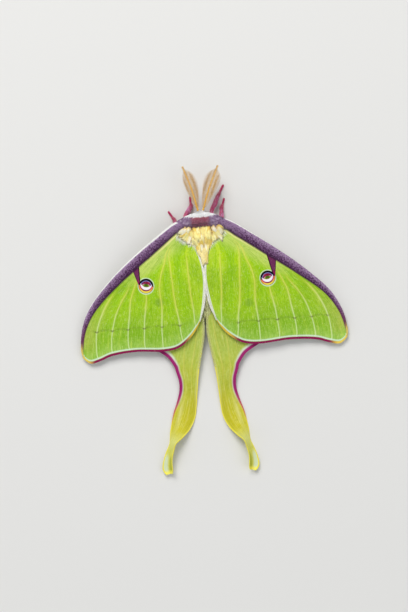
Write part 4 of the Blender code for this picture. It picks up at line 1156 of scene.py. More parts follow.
tuft_shade = tuft_shade_group()
bare_skin = bare_skin_group()
body_marks = body_markings()
skin = body_skin()
body_nodes = ("thorax", "abdomen", "head", "collar", "palp_left", "palp_right")
dress(skin, skin_finish("body_skin", body_marks, 0.85), "thorax_cream", *body_nodes)

# The coat of the body: long soft wool combed back from the collar in locks that overlap like tiles,
# flare out over the roots of the wings and meet in a beige tuft, and short flat scales elsewhere.
# Every tuft is a thin tapered blade that carries the markings of the skin at its own root.
PATCH = 0.003
TUFT_STATIONS, HAIR_STATIONS = 4, 6
BODY_AXIS_HEIGHT = 4.6
WOOL_ROWS = [
    # Root y, half width of the row, number of locks, length, lift, and 1 where they are beige.
    (-6.1, 0.9, 3, 3.3, 0.0, 1),
    (-4.6, 1.4, 3, 3.6, 0.02, 1),
    (-3.1, 1.9, 3, 3.8, 0.04, 1),
    (-1.7, 2.4, 5, 3.9, 0.06, 0),
    (-0.2, 3.0, 5, 3.9, 0.08, 0),
    (1.3, 4.2, 7, 3.7, 0.12, 0),
    (2.3, 4.9, 9, 3.4, 0.16, 0),
    (3.4, 5.1, 9, 3.2, 0.2, 0),
]
SHOULDER_LOCKS = {
    # Root and tip in the plan of the locks that lie over the root of each forewing.
    LEFT: [
        ((-4.6, 2.3), (-7.4, 0.9)), ((-4.4, 2.2), (-7.1, -0.1)), ((-4.1, 1.8), (-6.3, -0.9)),
        ((-3.8, 1.4), (-5.5, -1.5)), ((-3.4, 1.0), (-4.7, -2.0)), ((-3.1, 0.6), (-3.9, -2.6)),
        ((-2.7, 0.0), (-3.1, -3.1)), ((-5.0, 2.1), (-6.4, 0.6)), ((-4.6, 1.7), (-5.6, -0.4)),
        ((-4.1, 1.2), (-4.8, -1.1)),
    ],
    RIGHT: [
        ((4.9, 2.3), (7.4, 1.5)), ((4.6, 2.2), (7.0, 0.6)), ((4.4, 1.9), (6.5, -0.4)),
        ((4.1, 1.6), (5.7, -1.2)), ((3.8, 1.2), (4.9, -1.8)), ((3.5, 0.8), (4.2, -2.2)),
        ((3.2, 0.3), (3.6, -2.6)), ((5.3, 2.2), (6.8, 1.0)), ((4.9, 1.8), (6.0, 0.0)),
        ((4.5, 1.4), (5.2, -0.7)),
    ],
}
LOCK_HALF_WIDTH = 0.62
BLADES_PER_LOCK = 104
BLADE_WIDTHS = (0.13, 0.24)
WOOL_CROWN = 0.24
WOOL_TAPER = (0.35, 1.0, 0.62)


def from_arrays(name, points, triangles):
    """A mesh object from arrays of points, in metres, and of triangles."""
    mesh = bpy.data.meshes.new(name)
    mesh.vertices.add(len(points))
    mesh.vertices.foreach_set("co", points.astype(np.float32).ravel())
    mesh.loops.add(triangles.size)
    mesh.loops.foreach_set("vertex_index", triangles.astype(np.int32).ravel())
    mesh.polygons.add(len(triangles))
    mesh.polygons.foreach_set("loop_start", np.arange(0, triangles.size, 3, dtype=np.int32))
    mesh.update(calc_edges=True)
    mesh.shade_smooth()
    obj = bpy.data.objects.new(name, mesh)
    bpy.context.scene.collection.objects.link(obj)
    return obj


def unit(vectors):
    """Vectors brought to length 1."""
    return vectors / np.maximum(np.linalg.norm(vectors, axis=-1, keepdims=True), 1e-9)


def upright(count):
    """Straight up, once for each of many blades."""
    return np.tile((0.0, 0.0, 1.0), (count, 1))


def unrolled_body(roots):
    """Places on the body's skin unrolled round its long axis, as shares of the map's sides."""
    around = np.arctan2(roots[:, 2] - BODY_AXIS_HEIGHT, roots[:, 0]) / (2 * math.pi) + 0.5
    return np.stack([around, (roots[:, 1] + 22) / 32], 1) * (1 - 2 * PATCH) + PATCH


def strands(name, paths, up, widths, facts, unrolled, taper=(0.8, 1.0, 0.62), flatness=0.5):
    """Many thin tapered three-sided blades as one mesh, each along its own path to a point.

    The facts are values of each whole blade, which its material reads, and the blade's patch of
    the OFBake map lies where its root is on the unrolled skin.
    """
    count, stations, _ = paths.shape
    shares = np.linspace(0, 1, stations)
    girths = np.interp(shares[:-1], np.linspace(0, shares[-2], len(taper)), taper)
    ahead = unit(np.gradient(paths, axis=1))
    across = unit(np.cross(np.broadcast_to(up[:, None], ahead.shape), ahead))
    above = np.cross(ahead, across)
    wide = (widths[:, None] * girths)[..., None]
    body = paths[:, :-1]
    corners = [
        body + across[:, :-1] * wide / 2,
        body + above[:, :-1] * wide * flatness,
        body - across[:, :-1] * wide / 2,
    ]
    ring_points = np.stack(corners, 2).reshape(count, -1, 3)
    points = np.concatenate([ring_points, paths[:, -1:]], 1)
    pattern = []
    for ring in range(stations - 2):
        for side in range(3):
            low, other = 3 * ring + side, 3 * ring + (side + 1) % 3
            pattern += [(low, low + 3, other + 3), (low, other + 3, other)]
    last = 3 * (stations - 2)
    pattern += [(last + side, last + 3, last + (side + 1) % 3) for side in range(3)]
    size = points.shape[1]
    triangles = (np.arange(count)[:, None, None] * size + np.array(pattern)[None]).reshape(-1, 3)
    obj = from_arrays(name, placed(points.reshape(-1, 3)), triangles)
    along_blade = np.append(np.repeat(shares[:-1], 3), 1.0)
    facts = {**facts, "root": placed(paths[:, 0])}
    of_points = {fact: np.repeat(np.asarray(values, float), size, 0) for fact, values in facts.items()}
    of_points["tuft"][:, 0] = np.tile(along_blade, count)
    give_values(obj, of_points)
    across_patch = np.append(np.tile((-0.5, 0.0, 0.5), stations - 1), 0.0)
    offset = np.stack([across_patch, along_blade - 0.5], 1) * PATCH
    flat = (unrolled(paths[:, 0])[:, None] + offset[None]).reshape(-1, 2)
    layer = obj.data.uv_layers.new(name="OFBake")
    layer.data.foreach_set("uv", flat[triangles.ravel()].astype(np.float32).ravel())
    return obj


def scattered(piece, count, seed, keep, read=()):
    """Random places on a piece, evenly by area, where keep says so: points and normals, in mm.

    Values of the piece in threes that are named in read come with them, for each place.
    """
    mesh = piece.data
    mesh.calc_loop_triangles()
    corners = np.zeros(len(mesh.loop_triangles) * 3, np.int32)
    mesh.loop_triangles.foreach_get("vertices", corners)
    corners = corners.reshape(-1, 3)
    points = points_of(piece) / MM + SHIFT
    normals = points_of(piece, "normal")
    values = {}
    for fact in read:
        numbers = np.zeros(len(mesh.vertices) * 3)
        mesh.attributes[fact].data.foreach_get("vector", numbers)
        values[fact] = numbers.reshape(-1, 3)
    middles = {fact: numbers[corners].mean(1) for fact, numbers in values.items()}
    wanted = keep(points[corners].mean(1), normals[corners].mean(1), **middles)
    a, b, c = (points[corners[:, k]] for k in range(3))
    areas = np.linalg.norm(np.cross(b - a, c - a), axis=1) * wanted
    draw = np.random.default_rng(seed)
    picked = draw.choice(len(areas), count, p=areas / areas.sum())
    first, second = draw.random((2, count))
    flip = first + second > 1
    first[flip], second[flip] = 1 - first[flip], 1 - second[flip]
    mix = np.stack([1 - first - second, first, second], 1)[..., None]
    place = (points[corners[picked]] * mix).sum(1)
    normal = unit((normals[corners[picked]] * mix).sum(1))
    return place, normal, {fact: numbers[picked] for fact, numbers in middles.items()}


def blade_facts(tone):
    """What the material of a tuft reads: its share along the blade, to be filled in, and its tone."""
    return {"tuft": np.stack([0 * tone, tone, 0 * tone], 1)}


def tufts(name, roots, normals, heading, lengths, widths, rise, seed, unrolled, sway=0.15, facts=()):
    """Short tufts that leave the skin at their roots, follow the heading and lie down again."""
    draw = np.random.default_rng(seed)
    count = len(roots)
    heading = unit(heading - (heading * normals).sum(1, keepdims=True) * normals)
    across = np.cross(normals, heading)
    heading = unit(heading + across * draw.normal(0, sway, (count, 1)))
    across = np.cross(normals, heading)
    curl = draw.normal(0, 0.1, (count, 1)) * lengths[:, None]
    rise = rise * draw.uniform(0.6, 1.4, (count, 1)) * lengths[:, None]
    rings = []
    for share in np.linspace(0, 1, TUFT_STATIONS):
        lift = rise * share * (2 - 1.1 * share) - 0.05 * (1 - share)
        rings.append(roots + heading * lengths[:, None] * share + normals * lift + across * curl * share**2)
    values = {**blade_facts(draw.random(count)), **dict(facts)}
    return strands(name, np.stack(rings, 1), normals, widths, values, unrolled)


def lie(x, y):
    """Height of what the wool lies on: the back, or the roots of the wings beside and behind it."""
    sections = np.array(THORAX_SECTIONS)[::-1]
    half_width, half_height, centre = (np.interp(y, sections[:, 0], sections[:, k]) for k in (1, 2, 3))
    back = centre + half_height * np.sqrt(1 - np.minimum(1, np.abs(x) / half_width) ** 2)
    by_collar = np.clip((y + 0.3) / 2.0, 0, 1) * np.clip((6.9 - np.abs(x)) / 2.4, 0, 1)
    wings = roof(x, y) + 0.06 + by_collar
    over_wing = np.maximum(np.clip((np.abs(x) - 1.5) / 2.0, 0, 1), eased(-y, 2.4, 4.4))
    return back + over_wing * np.maximum(0, wings - back)


def locks(name, lines, seed):
    """Locks of wool as one mesh: each a sheaf of blades, rounded across, that closes to its tip."""
    draw = np.random.default_rng(seed)
    root, tip = (np.array([line[k] for line in lines]) for k in (0, 1))
    half_width, lifted, beige = (np.array([line[k] for line in lines]) for k in (2, 3, 4))
    bend = draw.normal(0, 0.1, len(lines)) * np.linalg.norm(tip - root, axis=1)
    high = draw.uniform(0.8, 1.2, len(lines))
    tone = draw.random(len(lines))
    # From here on there is one row for each blade, and one column for each station along it.
    each = (root, tip, half_width, lifted, beige, bend, high, tone)
    root, tip, half_width, lifted, beige, bend, high, tone = (np.repeat(k, BLADES_PER_LOCK, 0) for k in each)
    count = len(root)
    off = draw.uniform(-1, 1, count)
    late = draw.uniform(0, 0.25, count)
    end = draw.uniform(0.72, 1.05, count)
    share = late[:, None] + (end - late)[:, None] * np.linspace(0, 1, HAIR_STATIONS)
    ahead = unit(tip - root)
    across = np.stack([ahead[:, 1], -ahead[:, 0]], 1)
    spread = (half_width * off)[:, None] * (1.05 - 0.68 * share**2) + draw.normal(0, 0.08, (count, 1)) * share
    spread = spread + bend[:, None] * np.sin(math.pi * share)
    plan = root[:, None] + (tip - root)[:, None] * share[..., None] + across[:, None] * spread[..., None]
    rounded = WOOL_CROWN * high * (1 - off**2)
    crown = rounded[:, None] * np.sin(math.pi * np.clip(share * 0.8 + 0.12, 0, 1))
    settled = 0.14 - 0.1 * share + lifted[:, None] * (1 - 0.7 * share)
    height = lie(plan[..., 0], plan[..., 1]) + settled + crown + draw.uniform(0, 0.1, (count, 1))
    height[:, 0] -= 0.25 * (late < 0.12)
    paths = np.concatenate([plan, height[..., None]], 2)
    # The third fact is 1, plus 1 for beige locks, plus the share out to the lock's edge, which the wool
    # finish reads for its painted shade at the edges.
    facts = np.stack([0 * off, 0.3 * draw.random(count) + 0.7 * tone, 1 + beige + 0.49 * np.abs(off)], 1)
    widths = draw.uniform(*BLADE_WIDTHS, count)
    return strands(name, paths, upright(count), widths, {"tuft": facts}, unrolled_body, WOOL_TAPER)


def wool_lines():
    """Root, tip, half width, lift and beige share of every lock of the back."""
    draw = np.random.default_rng(21)
    lines = []
    for y, half, count, length, lifted, beige in WOOL_ROWS:
        for k in range(count):
            x = half * (2 * (k + 0.5) / count - 1) + draw.uniform(-0.12, 0.12) + 0.25
            back = y - 0.035 * x * x + draw.uniform(-0.3, 0.3)
            inward = np.array((0.35 - (0.75 if y > -4 else 0.3) * x, -6.5))
            outward = np.array((np.sign(x) * 3.2, -4.0))
            share = eased(abs(x), 2.3, 3.8) * eased(y, -1.0, 1.0)
            heading = unit(inward) * (1 - share) + unit(outward) * share
            reach = length * draw.uniform(0.88, 1.12)
            tip = np.array((x, back)) + heading * reach
            lines.append(((x, back), tip, LOCK_HALF_WIDTH * draw.uniform(0.85, 1.15), lifted, beige))
    for side in (LEFT, RIGHT):
        for root, tip in SHOULDER_LOCKS[side]:
            lines.append((root, tip, LOCK_HALF_WIDTH * draw.uniform(0.75, 1.0), -0.04, 0.0))
    return lines


def wool_finish():
    """Silky cream wool, each lock with a tone of its own, with painted shade in gold at the roots and along
    each lock's edges, and a painted highlight on the tips.
    """
    finish = Finish("thorax_wool", 0.7)
    step, over = finish.step, finish.over
    share, tone, kind = finish.parts("tuft")
    edge = finish.maths("FRACT", kind)
    light = finish.layers(
        (244, 212, 100),
        ((255, 245, 166), step(tone, 0.15, 0.55)),
        ((255, 250, 236), step(tone, 0.65, 0.9)),
    )
    # Gold at the roots and at each lock's edges is painted shade, and the paler tips are a painted highlight.
    colour = finish.layers(
        (240, 194, 84),
        (light, step(share, -0.15, 0.35)),
        ((236, 190, 80), finish.both(step(edge, 0.3, 0.49), 0.55)),
        (over((242, 218, 130), (252, 236, 166), step(tone, 0.2, 0.7)), step(kind, 1.45, 1.95)),
        ((255, 252, 216), finish.both(step(share, 0.55, 1.0), 0.35)),
    )
    finish.surface(colour, Sheen_Weight=0.3, Specular_IOR_Level=0.2)
    return finish.material


def collar_heading(place):
    """The way that the collar's scales lie: back and outwards, up its front and down its rear."""
    front = place[:, 1] - 4.7 + COLLAR_ARC * place[:, 0] ** 2
    return np.stack([0.25 * place[:, 0], -1 + 0 * front, np.clip(0.6 * front, -0.7, 0.5)], 1)


# Each short coat: its name and slot, how many tufts, their lengths and widths, how far they rise,
# its seed, the way they lie, and where on the skin they grow, by places and normals.
BODY_COATS = [
    ("thorax_down", "thorax_cream", 3000, (0.8, 1.4), (0.16, 0.26), 0.03, 3,
     lambda p: np.stack([-0.1 * p[:, 0], -1 + 0 * p[:, 0], 0 * p[:, 0]], 1),
     lambda p, n: (p[:, 1] < 3.8) & (p[:, 1] > -0.6) & (n[:, 2] > 0.0) & (p[:, 2] > 5.5)),
    ("thorax_underside", "thorax_cream", 6500, (1.1, 2.0), (0.14, 0.26), 0.06, 13,
     lambda p: np.tile((0.0, -1.0, -0.25), (len(p), 1)),
     lambda p, n: (p[:, 1] < 4.2) & (p[:, 1] > -6.4) & ((n[:, 2] <= 0.1) | (p[:, 2] <= 5.6))),
    ("collar_scales", "collar_purple", 13000, (0.4, 0.75), (0.12, 0.2), 0.12, 23,
     collar_heading,
     lambda p, n: (p[:, 1] > 2.6) & (p[:, 2] > 6.4)),
    ("head_fur", "body_white", 6000, (0.4, 0.75), (0.1, 0.17), 0.12, 33,
     lambda p: np.tile((0.0, -0.6, -0.8), (len(p), 1)),
     lambda p, n: (p[:, 1] > 4.0) & (p[:, 2] <= 6.4)),
    ("abdomen_fur", "body_white", 10500, (0.9, 1.6), (0.14, 0.24), 0.09, 43,
     lambda p: np.tile((0.0, -1.0, 0.0), (len(p), 1)),
     lambda p, n: p[:, 1] < -5.3),
]
# Added to a coat's seed for the sway and rise of its tufts.
SWAY_SEED = 4
# How the fur shortens towards the end of the abdomen: y and the share of its length.
FUR_SHORTENS = [(-22.0, 0.6), (-17.0, 1.0)]

dress(locks("thorax_wool", wool_lines(), 31), wool_finish(), "thorax_cream")
coat = coat_finish("body_coat", body_marks, 0.8)
draw = np.random.default_rng(5)
for name, slot, count, lengths, widths, rise, seed, lies, grows in BODY_COATS:
    place, normal, _ = scattered(skin, count, seed, grows)
    length = draw.uniform(*lengths, count) * reading(FUR_SHORTENS, place[:, 1])
    width = draw.uniform(*widths, count)
    fur = tufts(name, place, normal, lies(place), length, width, rise, seed + SWAY_SEED, unrolled_body)
    dress(fur, coat, slot)

# The long hair of the back of the abdomen: olive silk that stands up between the wings, bends back
# and fills the cleft between them down to where the hindwings part. It grows from the skin.
BACK_HAIRS = 2400
BACK_HAIR_FROM, BACK_HAIR_TO = -4.6, -23.6
HAIR_FLATNESS = 0.14


def silk_tones_group():
    """Node group: fine silky hair, from one colour at the root to another, with warmer hairs."""
    tools, given, gives = effect(
        "silk_tones",
        {"Root": "Color", "Tip": "Color", "Warm": "Color", "Share": "Float", "Tone": "Float"},
        {"Color": "Color"},
    )
    colour = tools.over(given["Root"], given["Tip"], tools.step(given["Share"], 0.0, 0.5))
    colour = tools.over(colour, given["Warm"], tools.step(given["Tone"], 0.5, 0.9))
    tools.set(gives["Color"], colour)
    return tools.tree


def silk_finish(name, root, tip, warm):
    """A silk of three colours."""
    finish = Finish(name, 0.6)
    share, tone, _ = finish.parts("tuft")
    [colour] = finish.grouped(
        silk_tones, Root=paint(*root), Tip=paint(*tip), Warm=paint(*warm), Share=share, Tone=tone
    )
    finish.surface(colour, Sheen_Weight=0.2)
    return finish.material


def back_hair():
    """Hairs that spring from the midline of the back, rise quickly and run back in the cleft."""
    count = BACK_HAIRS
    steps = np.linspace(0, 1, HAIR_STATIONS)
    y = draw.uniform(BACK_HAIR_TO, BACK_HAIR_FROM, count)
    x = draw.normal(0, 0.5, count).clip(-1.1, 1.1) * (1 + 0.3 * eased(-y, 19, 24))
    reach = draw.uniform(2.0, 3.6, count) * reading([(-23.6, 0.8), (-21, 1.0)], y)
    heading = np.stack([draw.normal(-0.02, 0.07, count), -np.ones(count)], 1)
    plan = np.stack([x, y], 1)[:, None] + heading[:, None] * (reach[:, None, None] * steps[None, :, None])
    top = roof(0 * plan[..., 1], plan[..., 1]) - draw.uniform(0.1, 0.5, (count, 1))
    height = top - 1.6 * np.exp(-8 * steps) - 0.12 * plan[..., 0] ** 2
    height -= 1.5 * eased(-y, 17.0, 24.0)[:, None] * np.linspace(0.3, 1, HAIR_STATIONS)
    tone = draw.random(count)
    paths = np.concatenate([plan, height[..., None]], 2)
    widths = draw.uniform(0.16, 0.28, count)
    return strands("back_hair", paths, upright(count), widths, blade_facts(tone), unrolled_body,
                   flatness=HAIR_FLATNESS)


silk_tones = silk_tones_group()
olive_silk = silk_finish("olive_silk", (218, 226, 126), (242, 246, 178), (230, 224, 146))
dress(back_hair(), olive_silk, "thorax_cream")

# The hair of the wings: a plush on the costal roll, white silk where the forewings meet, a looser
# fringe on the hindwings' inner margins and long pale hairs over the bases. It grows from the
# membrane and lies along it.
PLUSH, INNER_FRINGE, HIND_FRINGE, BASE_HAIRS = 9000, 1900, 900, 260
# Where the base hairs start along the forewing's root: x and y.
BASE_LINE = [(1.6, -4.0), (3, -1.8), (5, -0.5), (7.4, 0.9)]
WING_MAP_LEFT, WING_MAP_BOTTOM, WING_MAP_WIDTH, WING_MAP_HEIGHT = -43, -77, 86, 84


def unrolled_wing(roots):
    """Places on a wing laid out flat, as shares of the map's sides."""
    flat = (roots[:, :2] - (WING_MAP_LEFT, WING_MAP_BOTTOM)) / (WING_MAP_WIDTH, WING_MAP_HEIGHT)
    return flat * (1 - 2 * PATCH) + PATCH


def laid(name, roots, headings, reach, widths, lift, side, seed):
    """Hairs laid along a forewing: each runs from its root in the plan, a lift above the wing."""
    steps = np.linspace(0, 1, HAIR_STATIONS)[None, :, None]
    plan = roots[:, None] + (unit(headings) * reach[:, None])[:, None] * steps
    height = roof(plan[..., 0], plan[..., 1]) + lift[:, None]
    tone = np.random.default_rng(seed).random(len(roots))
    paths = np.concatenate([plan * (side, 1), height[..., None]], 2)
    return strands(name, paths, upright(len(roots)), widths, blade_facts(tone), unrolled_wing,
                   flatness=HAIR_FLATNESS)


def on_costa(p, n, margins, course, ghost, **_):
    """The costal roll, apart from the line where its purple meets the white rim."""
    across, white = course[:, 1], ghost[:, 2]
    return (margins[:, 0] < -0.15) & (n[:, 2] > -0.1) & ((across > 0.34 * white) | (across < 0.22 * white))


white_silk = silk_finish("white_silk", (254, 252, 238), (255, 255, 252), (255, 250, 214))
costa_line = curve_through(FOREWING_COSTA)
inner_line = curve_through(FOREWING_INNER)
hind_line = curve_through([HINDWING_ROOT[-1], *HINDWING_INNER])
for side in (RIGHT, LEFT):
    part = SIDE_NAME[side]
    place, normal, values = scattered(
        bpy.data.objects[f"forewing_scales_{part}"], PLUSH, 90 + side, on_costa,
        ("margins", "course", "ghost", "spot", "stalk", "fan"),
    )
    level = values["course"][:, 0]
    length = draw.uniform(0.35, 0.6, PLUSH) * reading([(0, 1.0), (0.8, 0.7), (1, 0.4)], level)
    forward = along(costa_line, np.minimum(level + 0.01, 1)) - along(costa_line, np.maximum(level - 0.01, 0))
    heading = np.stack([side * forward[:, 0], forward[:, 1], 0 * length], 1)
    width = draw.uniform(0.1, 0.16, PLUSH)
    plush = tufts(f"costal_plush_{part}", place, normal, heading, length, width, 0.09, 94 + side,
                  unrolled_wing, sway=0.3, facts=values)
    dress(plush, forewing_scales, "wing_green")

    count = INNER_FRINGE
    share = draw.uniform(0.02, 1.0, count) ** 1.2
    edge = along(inner_line, share) + np.stack([draw.uniform(-0.04, 0.16, count), np.zeros(count)], 1)
    back = unit(along(inner_line, share + 0.01) - along(inner_line, share - 0.01))
    headings = np.stack([np.full(count, -0.45), back[:, 1]], 1)
    reach = draw.uniform(0.8, 1.6, count) * (1 - 0.5 * share) * (1 - 0.75 * eased(share, 0.75, 1.0))
    reach = np.minimum(reach, (edge[:, 0] + 0.35) / 0.41)
    widths, lift = draw.uniform(0.13, 0.2, count), draw.uniform(0.05, 0.13, count)
    fringe = laid(f"inner_fringe_{part}", edge, headings, reach, widths, lift, side, 96 + side)
    dress(fringe, white_silk, "body_white")

    count = HIND_FRINGE
    share = draw.uniform(0.3, 0.99, count)
    edge = along(hind_line, share) + np.stack([draw.uniform(0.0, 0.5, count), np.zeros(count)], 1)
    edge = np.stack(turned(edge[:, 0], edge[:, 1], side), 1)
    headings = np.stack([draw.normal(-0.28, 0.1, count), -np.ones(count)], 1)
    shorter = (1 - 0.6 * eased(share, 0.42, 0.6)) * (1 - 0.6 * eased(share, 0.6, 0.98))
    reach = draw.uniform(0.7, 1.4, count) * shorter
    widths, lift = draw.uniform(0.07, 0.12, count), draw.uniform(-1.05, -0.85, count)
    fringe = laid(f"hind_fringe_{part}", edge, headings, reach, widths, lift, side, 97 + side)
    dress(fringe, olive_silk, "tail_yellow")

    count = BASE_HAIRS
    x = draw.uniform(BASE_LINE[0][0], BASE_LINE[-1][0], count)
    y = reading(BASE_LINE, x) + draw.uniform(-0.9, 0.6, count)
    headings = np.stack([(x - 1.2) * 0.1 + draw.normal(0, 0.08, count), -np.ones(count)], 1)
    reach = draw.uniform(0.7, 1.9, count)
    widths, lift = draw.uniform(0.06, 0.1, count), draw.uniform(0.06, 0.14, count)
    hair = laid(f"wing_hair_{part}", np.stack([x, y], 1), headings, reach, widths, lift, side, 98 + side)
    dress(hair, white_silk, "body_white")

# The eyes: dark round balls of thousands of lenses, close to the head under the front of the collar.
# They are hard and glossy, and set in hollows at the sides of the head.
EYE_RADIUS = 0.95
EYE_SPREAD = (1.95, 0.35, -0.1)


def eye_finish():
    """Thousands of tiny lenses: near black and glossy, with a fine net of dimples."""
    finish = Finish("eye", 0.18)
    facets = finish.node("TexVoronoi", 0, Vector=finish.node("TexCoord", 3), Scale=9000)
    finish.surface(finish.over((26, 16, 14), (58, 36, 30), finish.mottle(900)), Coat_Weight=0.6)
    finish.bump(facets, 0.00003)
    return finish.material


eye_dark = eye_finish()
for side in (RIGHT, LEFT):
    centre = HEAD_CENTRE + np.array(EYE_SPREAD) * (side, 1, 1)
    steps = np.linspace(-1, 1, 9)
    path = [centre + (0, EYE_RADIUS * k, 0) for k in steps]
    girth = EYE_RADIUS * np.sqrt(1.0001 - steps**2)
    eye = drawn_out(f"eye_ball_{SIDE_NAME[side]}", path, girth, girth, 48, 40, 0.01)
    bpy.ops.object.shade_smooth_by_angle(angle=math.radians(60))
    dress(eye, eye_dark, "eye_dark", f"eye_{SIDE_NAME[side]}")

# The antennae: a jointed horny shaft with two pairs of fine hairy rays to each joint, which stand
# out like the barbs of a feather. The rays are longest in the middle and shorten to both ends.
ANTENNA_BASE = (0.75, 2.0, 0.8)
ANTENNA_TIP = {RIGHT: (6.9, 21.4, 5.3), LEFT: (-4.15, 21.9, 5.3)}
ANTENNA_ARCH = 0.9
# How far the rays reach to each side of the shaft, on the outer and on the inner side of each.
ANTENNA_OUTLINE = [
    (0.0, 0.25), (0.1, 0.5), (0.2, 0.95), (0.35, 1.7), (0.5, 2.3), (0.62, 2.4), (0.75, 2.0),
    (0.88, 1.2), (1.0, 0.3),
]
RAY_SHARE = {(RIGHT, RIGHT): 1.12, (RIGHT, LEFT): 1.05, (LEFT, LEFT): 0.78, (LEFT, RIGHT): 1.05}
SHAFT_RADIUS = 0.15
ANTENNA_JOINTS = 40
RAY_ANGLE = 52
RAY_RADIUS = 0.09
RAY_RISE = 0.22
RAY_TAPER = (0.7, 0.8, 0.4)


def rays(line, places, hand, lean, wide):
    """The paths of one row of rays along an antenna, and the way up at each."""
    paths, ups = [], []
    angle = math.radians(RAY_ANGLE + lean)
    for place in places:
        forward = unit(along(line, min(1, place + 0.02)) - along(line, max(0, place - 0.02)))
        outward = unit(np.cross(forward, (0, 0, 1.0)))
        up = np.cross(outward, forward)
        reach = wide * float(smooth_reading(ANTENNA_OUTLINE, min(1, place + 0.1)))
        length = max(reach, 0.35) / math.sin(angle)
        heading = forward * math.cos(angle) + outward * hand * math.sin(angle)
        share = np.linspace(0, 1, 7)[:, None]
        curve = along(line, place) + heading * length * share
        paths.append(curve + (up * RAY_RISE + forward * 0.12) * length * share**2)
        ups.append(up)
    return paths, ups


def unrolled_antenna(roots):
    """Places on an antenna's shaft as shares of the map's sides: across, and along it."""
    return np.stack([(roots[:, 0] + 10) / 20, (roots[:, 1] - 7) / 16], 1) * (1 - 2 * PATCH) + PATCH


def horn_grain_group():
    """Node group: the two tones of horn, by its fine grain, and the grain's height."""
    tools, given, gives = effect(
        "horn_grain",
        {"Place": "Vector", "Pale": "Color", "Deep": "Color"},
        {"Color": "Color", "Height": "Float"},
    )
    grain = tools.mottle(2600, 2.0, given["Place"])
    tools.set(gives["Color"], tools.over(given["Deep"], given["Pale"], tools.step(grain, 0.35, 0.65)))
    tools.set(gives["Height"], grain)
    return tools.tree


def horn_finish(name, pale, deep):
    """Horn in two tones."""
    finish = Finish(name, 0.5)
    colour, height = finish.grouped(
        horn_grain, Place=finish.node("TexCoord", 3), Pale=paint(*pale), Deep=paint(*deep)
    )
    finish.surface(colour)
    finish.bump(height, 0.00003)
    return finish.material


horn_grain = horn_grain_group()
antenna_amber = horn_finish("antenna_shaft", (246, 200, 76), (228, 166, 44))
antenna_tan = horn_finish("antenna_rays", (224, 186, 120), (196, 150, 84))
for side in (RIGHT, LEFT):
    start = HEAD_CENTRE + np.array(ANTENNA_BASE) * (side, 1, 1)
    end = np.array(ANTENNA_TIP[side])
    middle = (start + end) / 2 + (-side * 0.35, 0, ANTENNA_ARCH)
    line = curve_through([start, middle, end])
    share = np.linspace(0, 1, 5 * ANTENNA_JOINTS + 1)
    joint = 1 + 0.14 * np.cos(2 * math.pi * ANTENNA_JOINTS * share)
    taper = np.interp(share, [0, 0.03, 0.06, 0.5, 1], [2.1, 2.2, 1.3, 1.0, 0.5])
    girth = SHAFT_RADIUS * joint * taper
    name = f"antenna_shaft_{SIDE_NAME[side]}"
    shaft = drawn_out(name, along(line, share), girth, girth, 12, 5 * ANTENNA_JOINTS, 0.01)
    bpy.ops.object.shade_smooth_by_angle(angle=math.radians(60))
    paths, ups = [], []
    places = np.linspace(0.05, 0.965, ANTENNA_JOINTS)
    for hand in (LEFT, RIGHT):
        for lean, shift in ((-3, 0.0), (6, 0.45 / ANTENNA_JOINTS)):
            more, tops = rays(line, places + shift, hand, lean, RAY_SHARE[(side, hand)])
            paths += more
            ups += tops
    facts = blade_facts(np.random.default_rng(70 + side).random(len(paths)))
    widths = np.full(len(paths), 2 * RAY_RADIUS)
    name = f"antenna_rays_{SIDE_NAME[side]}"
    barbs = strands(name, np.array(paths), np.array(ups), widths, facts, unrolled_antenna, RAY_TAPER)
    dress(shaft, antenna_amber, "antenna_tan", f"antenna_{SIDE_NAME[side]}")
    dress(barbs, antenna_tan, "antenna_tan")

# The legs: slim jointed legs of horn under short lilac and pink fur, folded out below the wings,
# with a bare maroon foot of five short joints that lies flat on the floor.
LEGS = {
    ("front", RIGHT): [(2.0, 2.2), (3.9, 7.5), (6.3, 12.3), (8.2, 15.6)],
    ("front", LEFT): [(-1.8, 2.2), (-4.3, 6.6), (-2.5, 9.6), (-2.5, 12.7)],
    ("mid", RIGHT): [(2.7, -0.4), (6.6, 2.6), (7.0, 8.2), (8.1, 11.4)],
    ("mid", LEFT): [(-2.7, -0.4), (-7.0, 0.6), (-7.9, 5.6), (-9.7, 8.7)],
    ("hind", RIGHT): [(2.6, -3.2), (7.2, -6.4), (10.4, -10.4), (12.2, -13.8)],
    ("hind", LEFT): [(-2.6, -3.2), (-7.0, -6.8), (-10.0, -11.2), (-12.0, -14.4)],
}
KNEE_HEIGHT, FEMUR_BOW, ANKLE_HEIGHT = 2.5, 0.45, 0.75
HIP_SUNK, TOE_RADIUS, TOE_SUNK = 1.2, 0.3, 0.05
LEG_RADII = (0.75, 0.66, 0.62, 0.52, 0.62, 0.42, 0.36, 0.32)
LEG_SECTIONS, LEG_TUFTS, LEG_TUFT_RISE = 60, 2400, 0.28
# The fur grows above the first height, and below the second it doesn't point down.
FUR_ABOVE, FUR_LEVEL_BELOW = 0.75, 1.4
FOOT_STARTS, FOOT_JOINTS = 0.78, 5


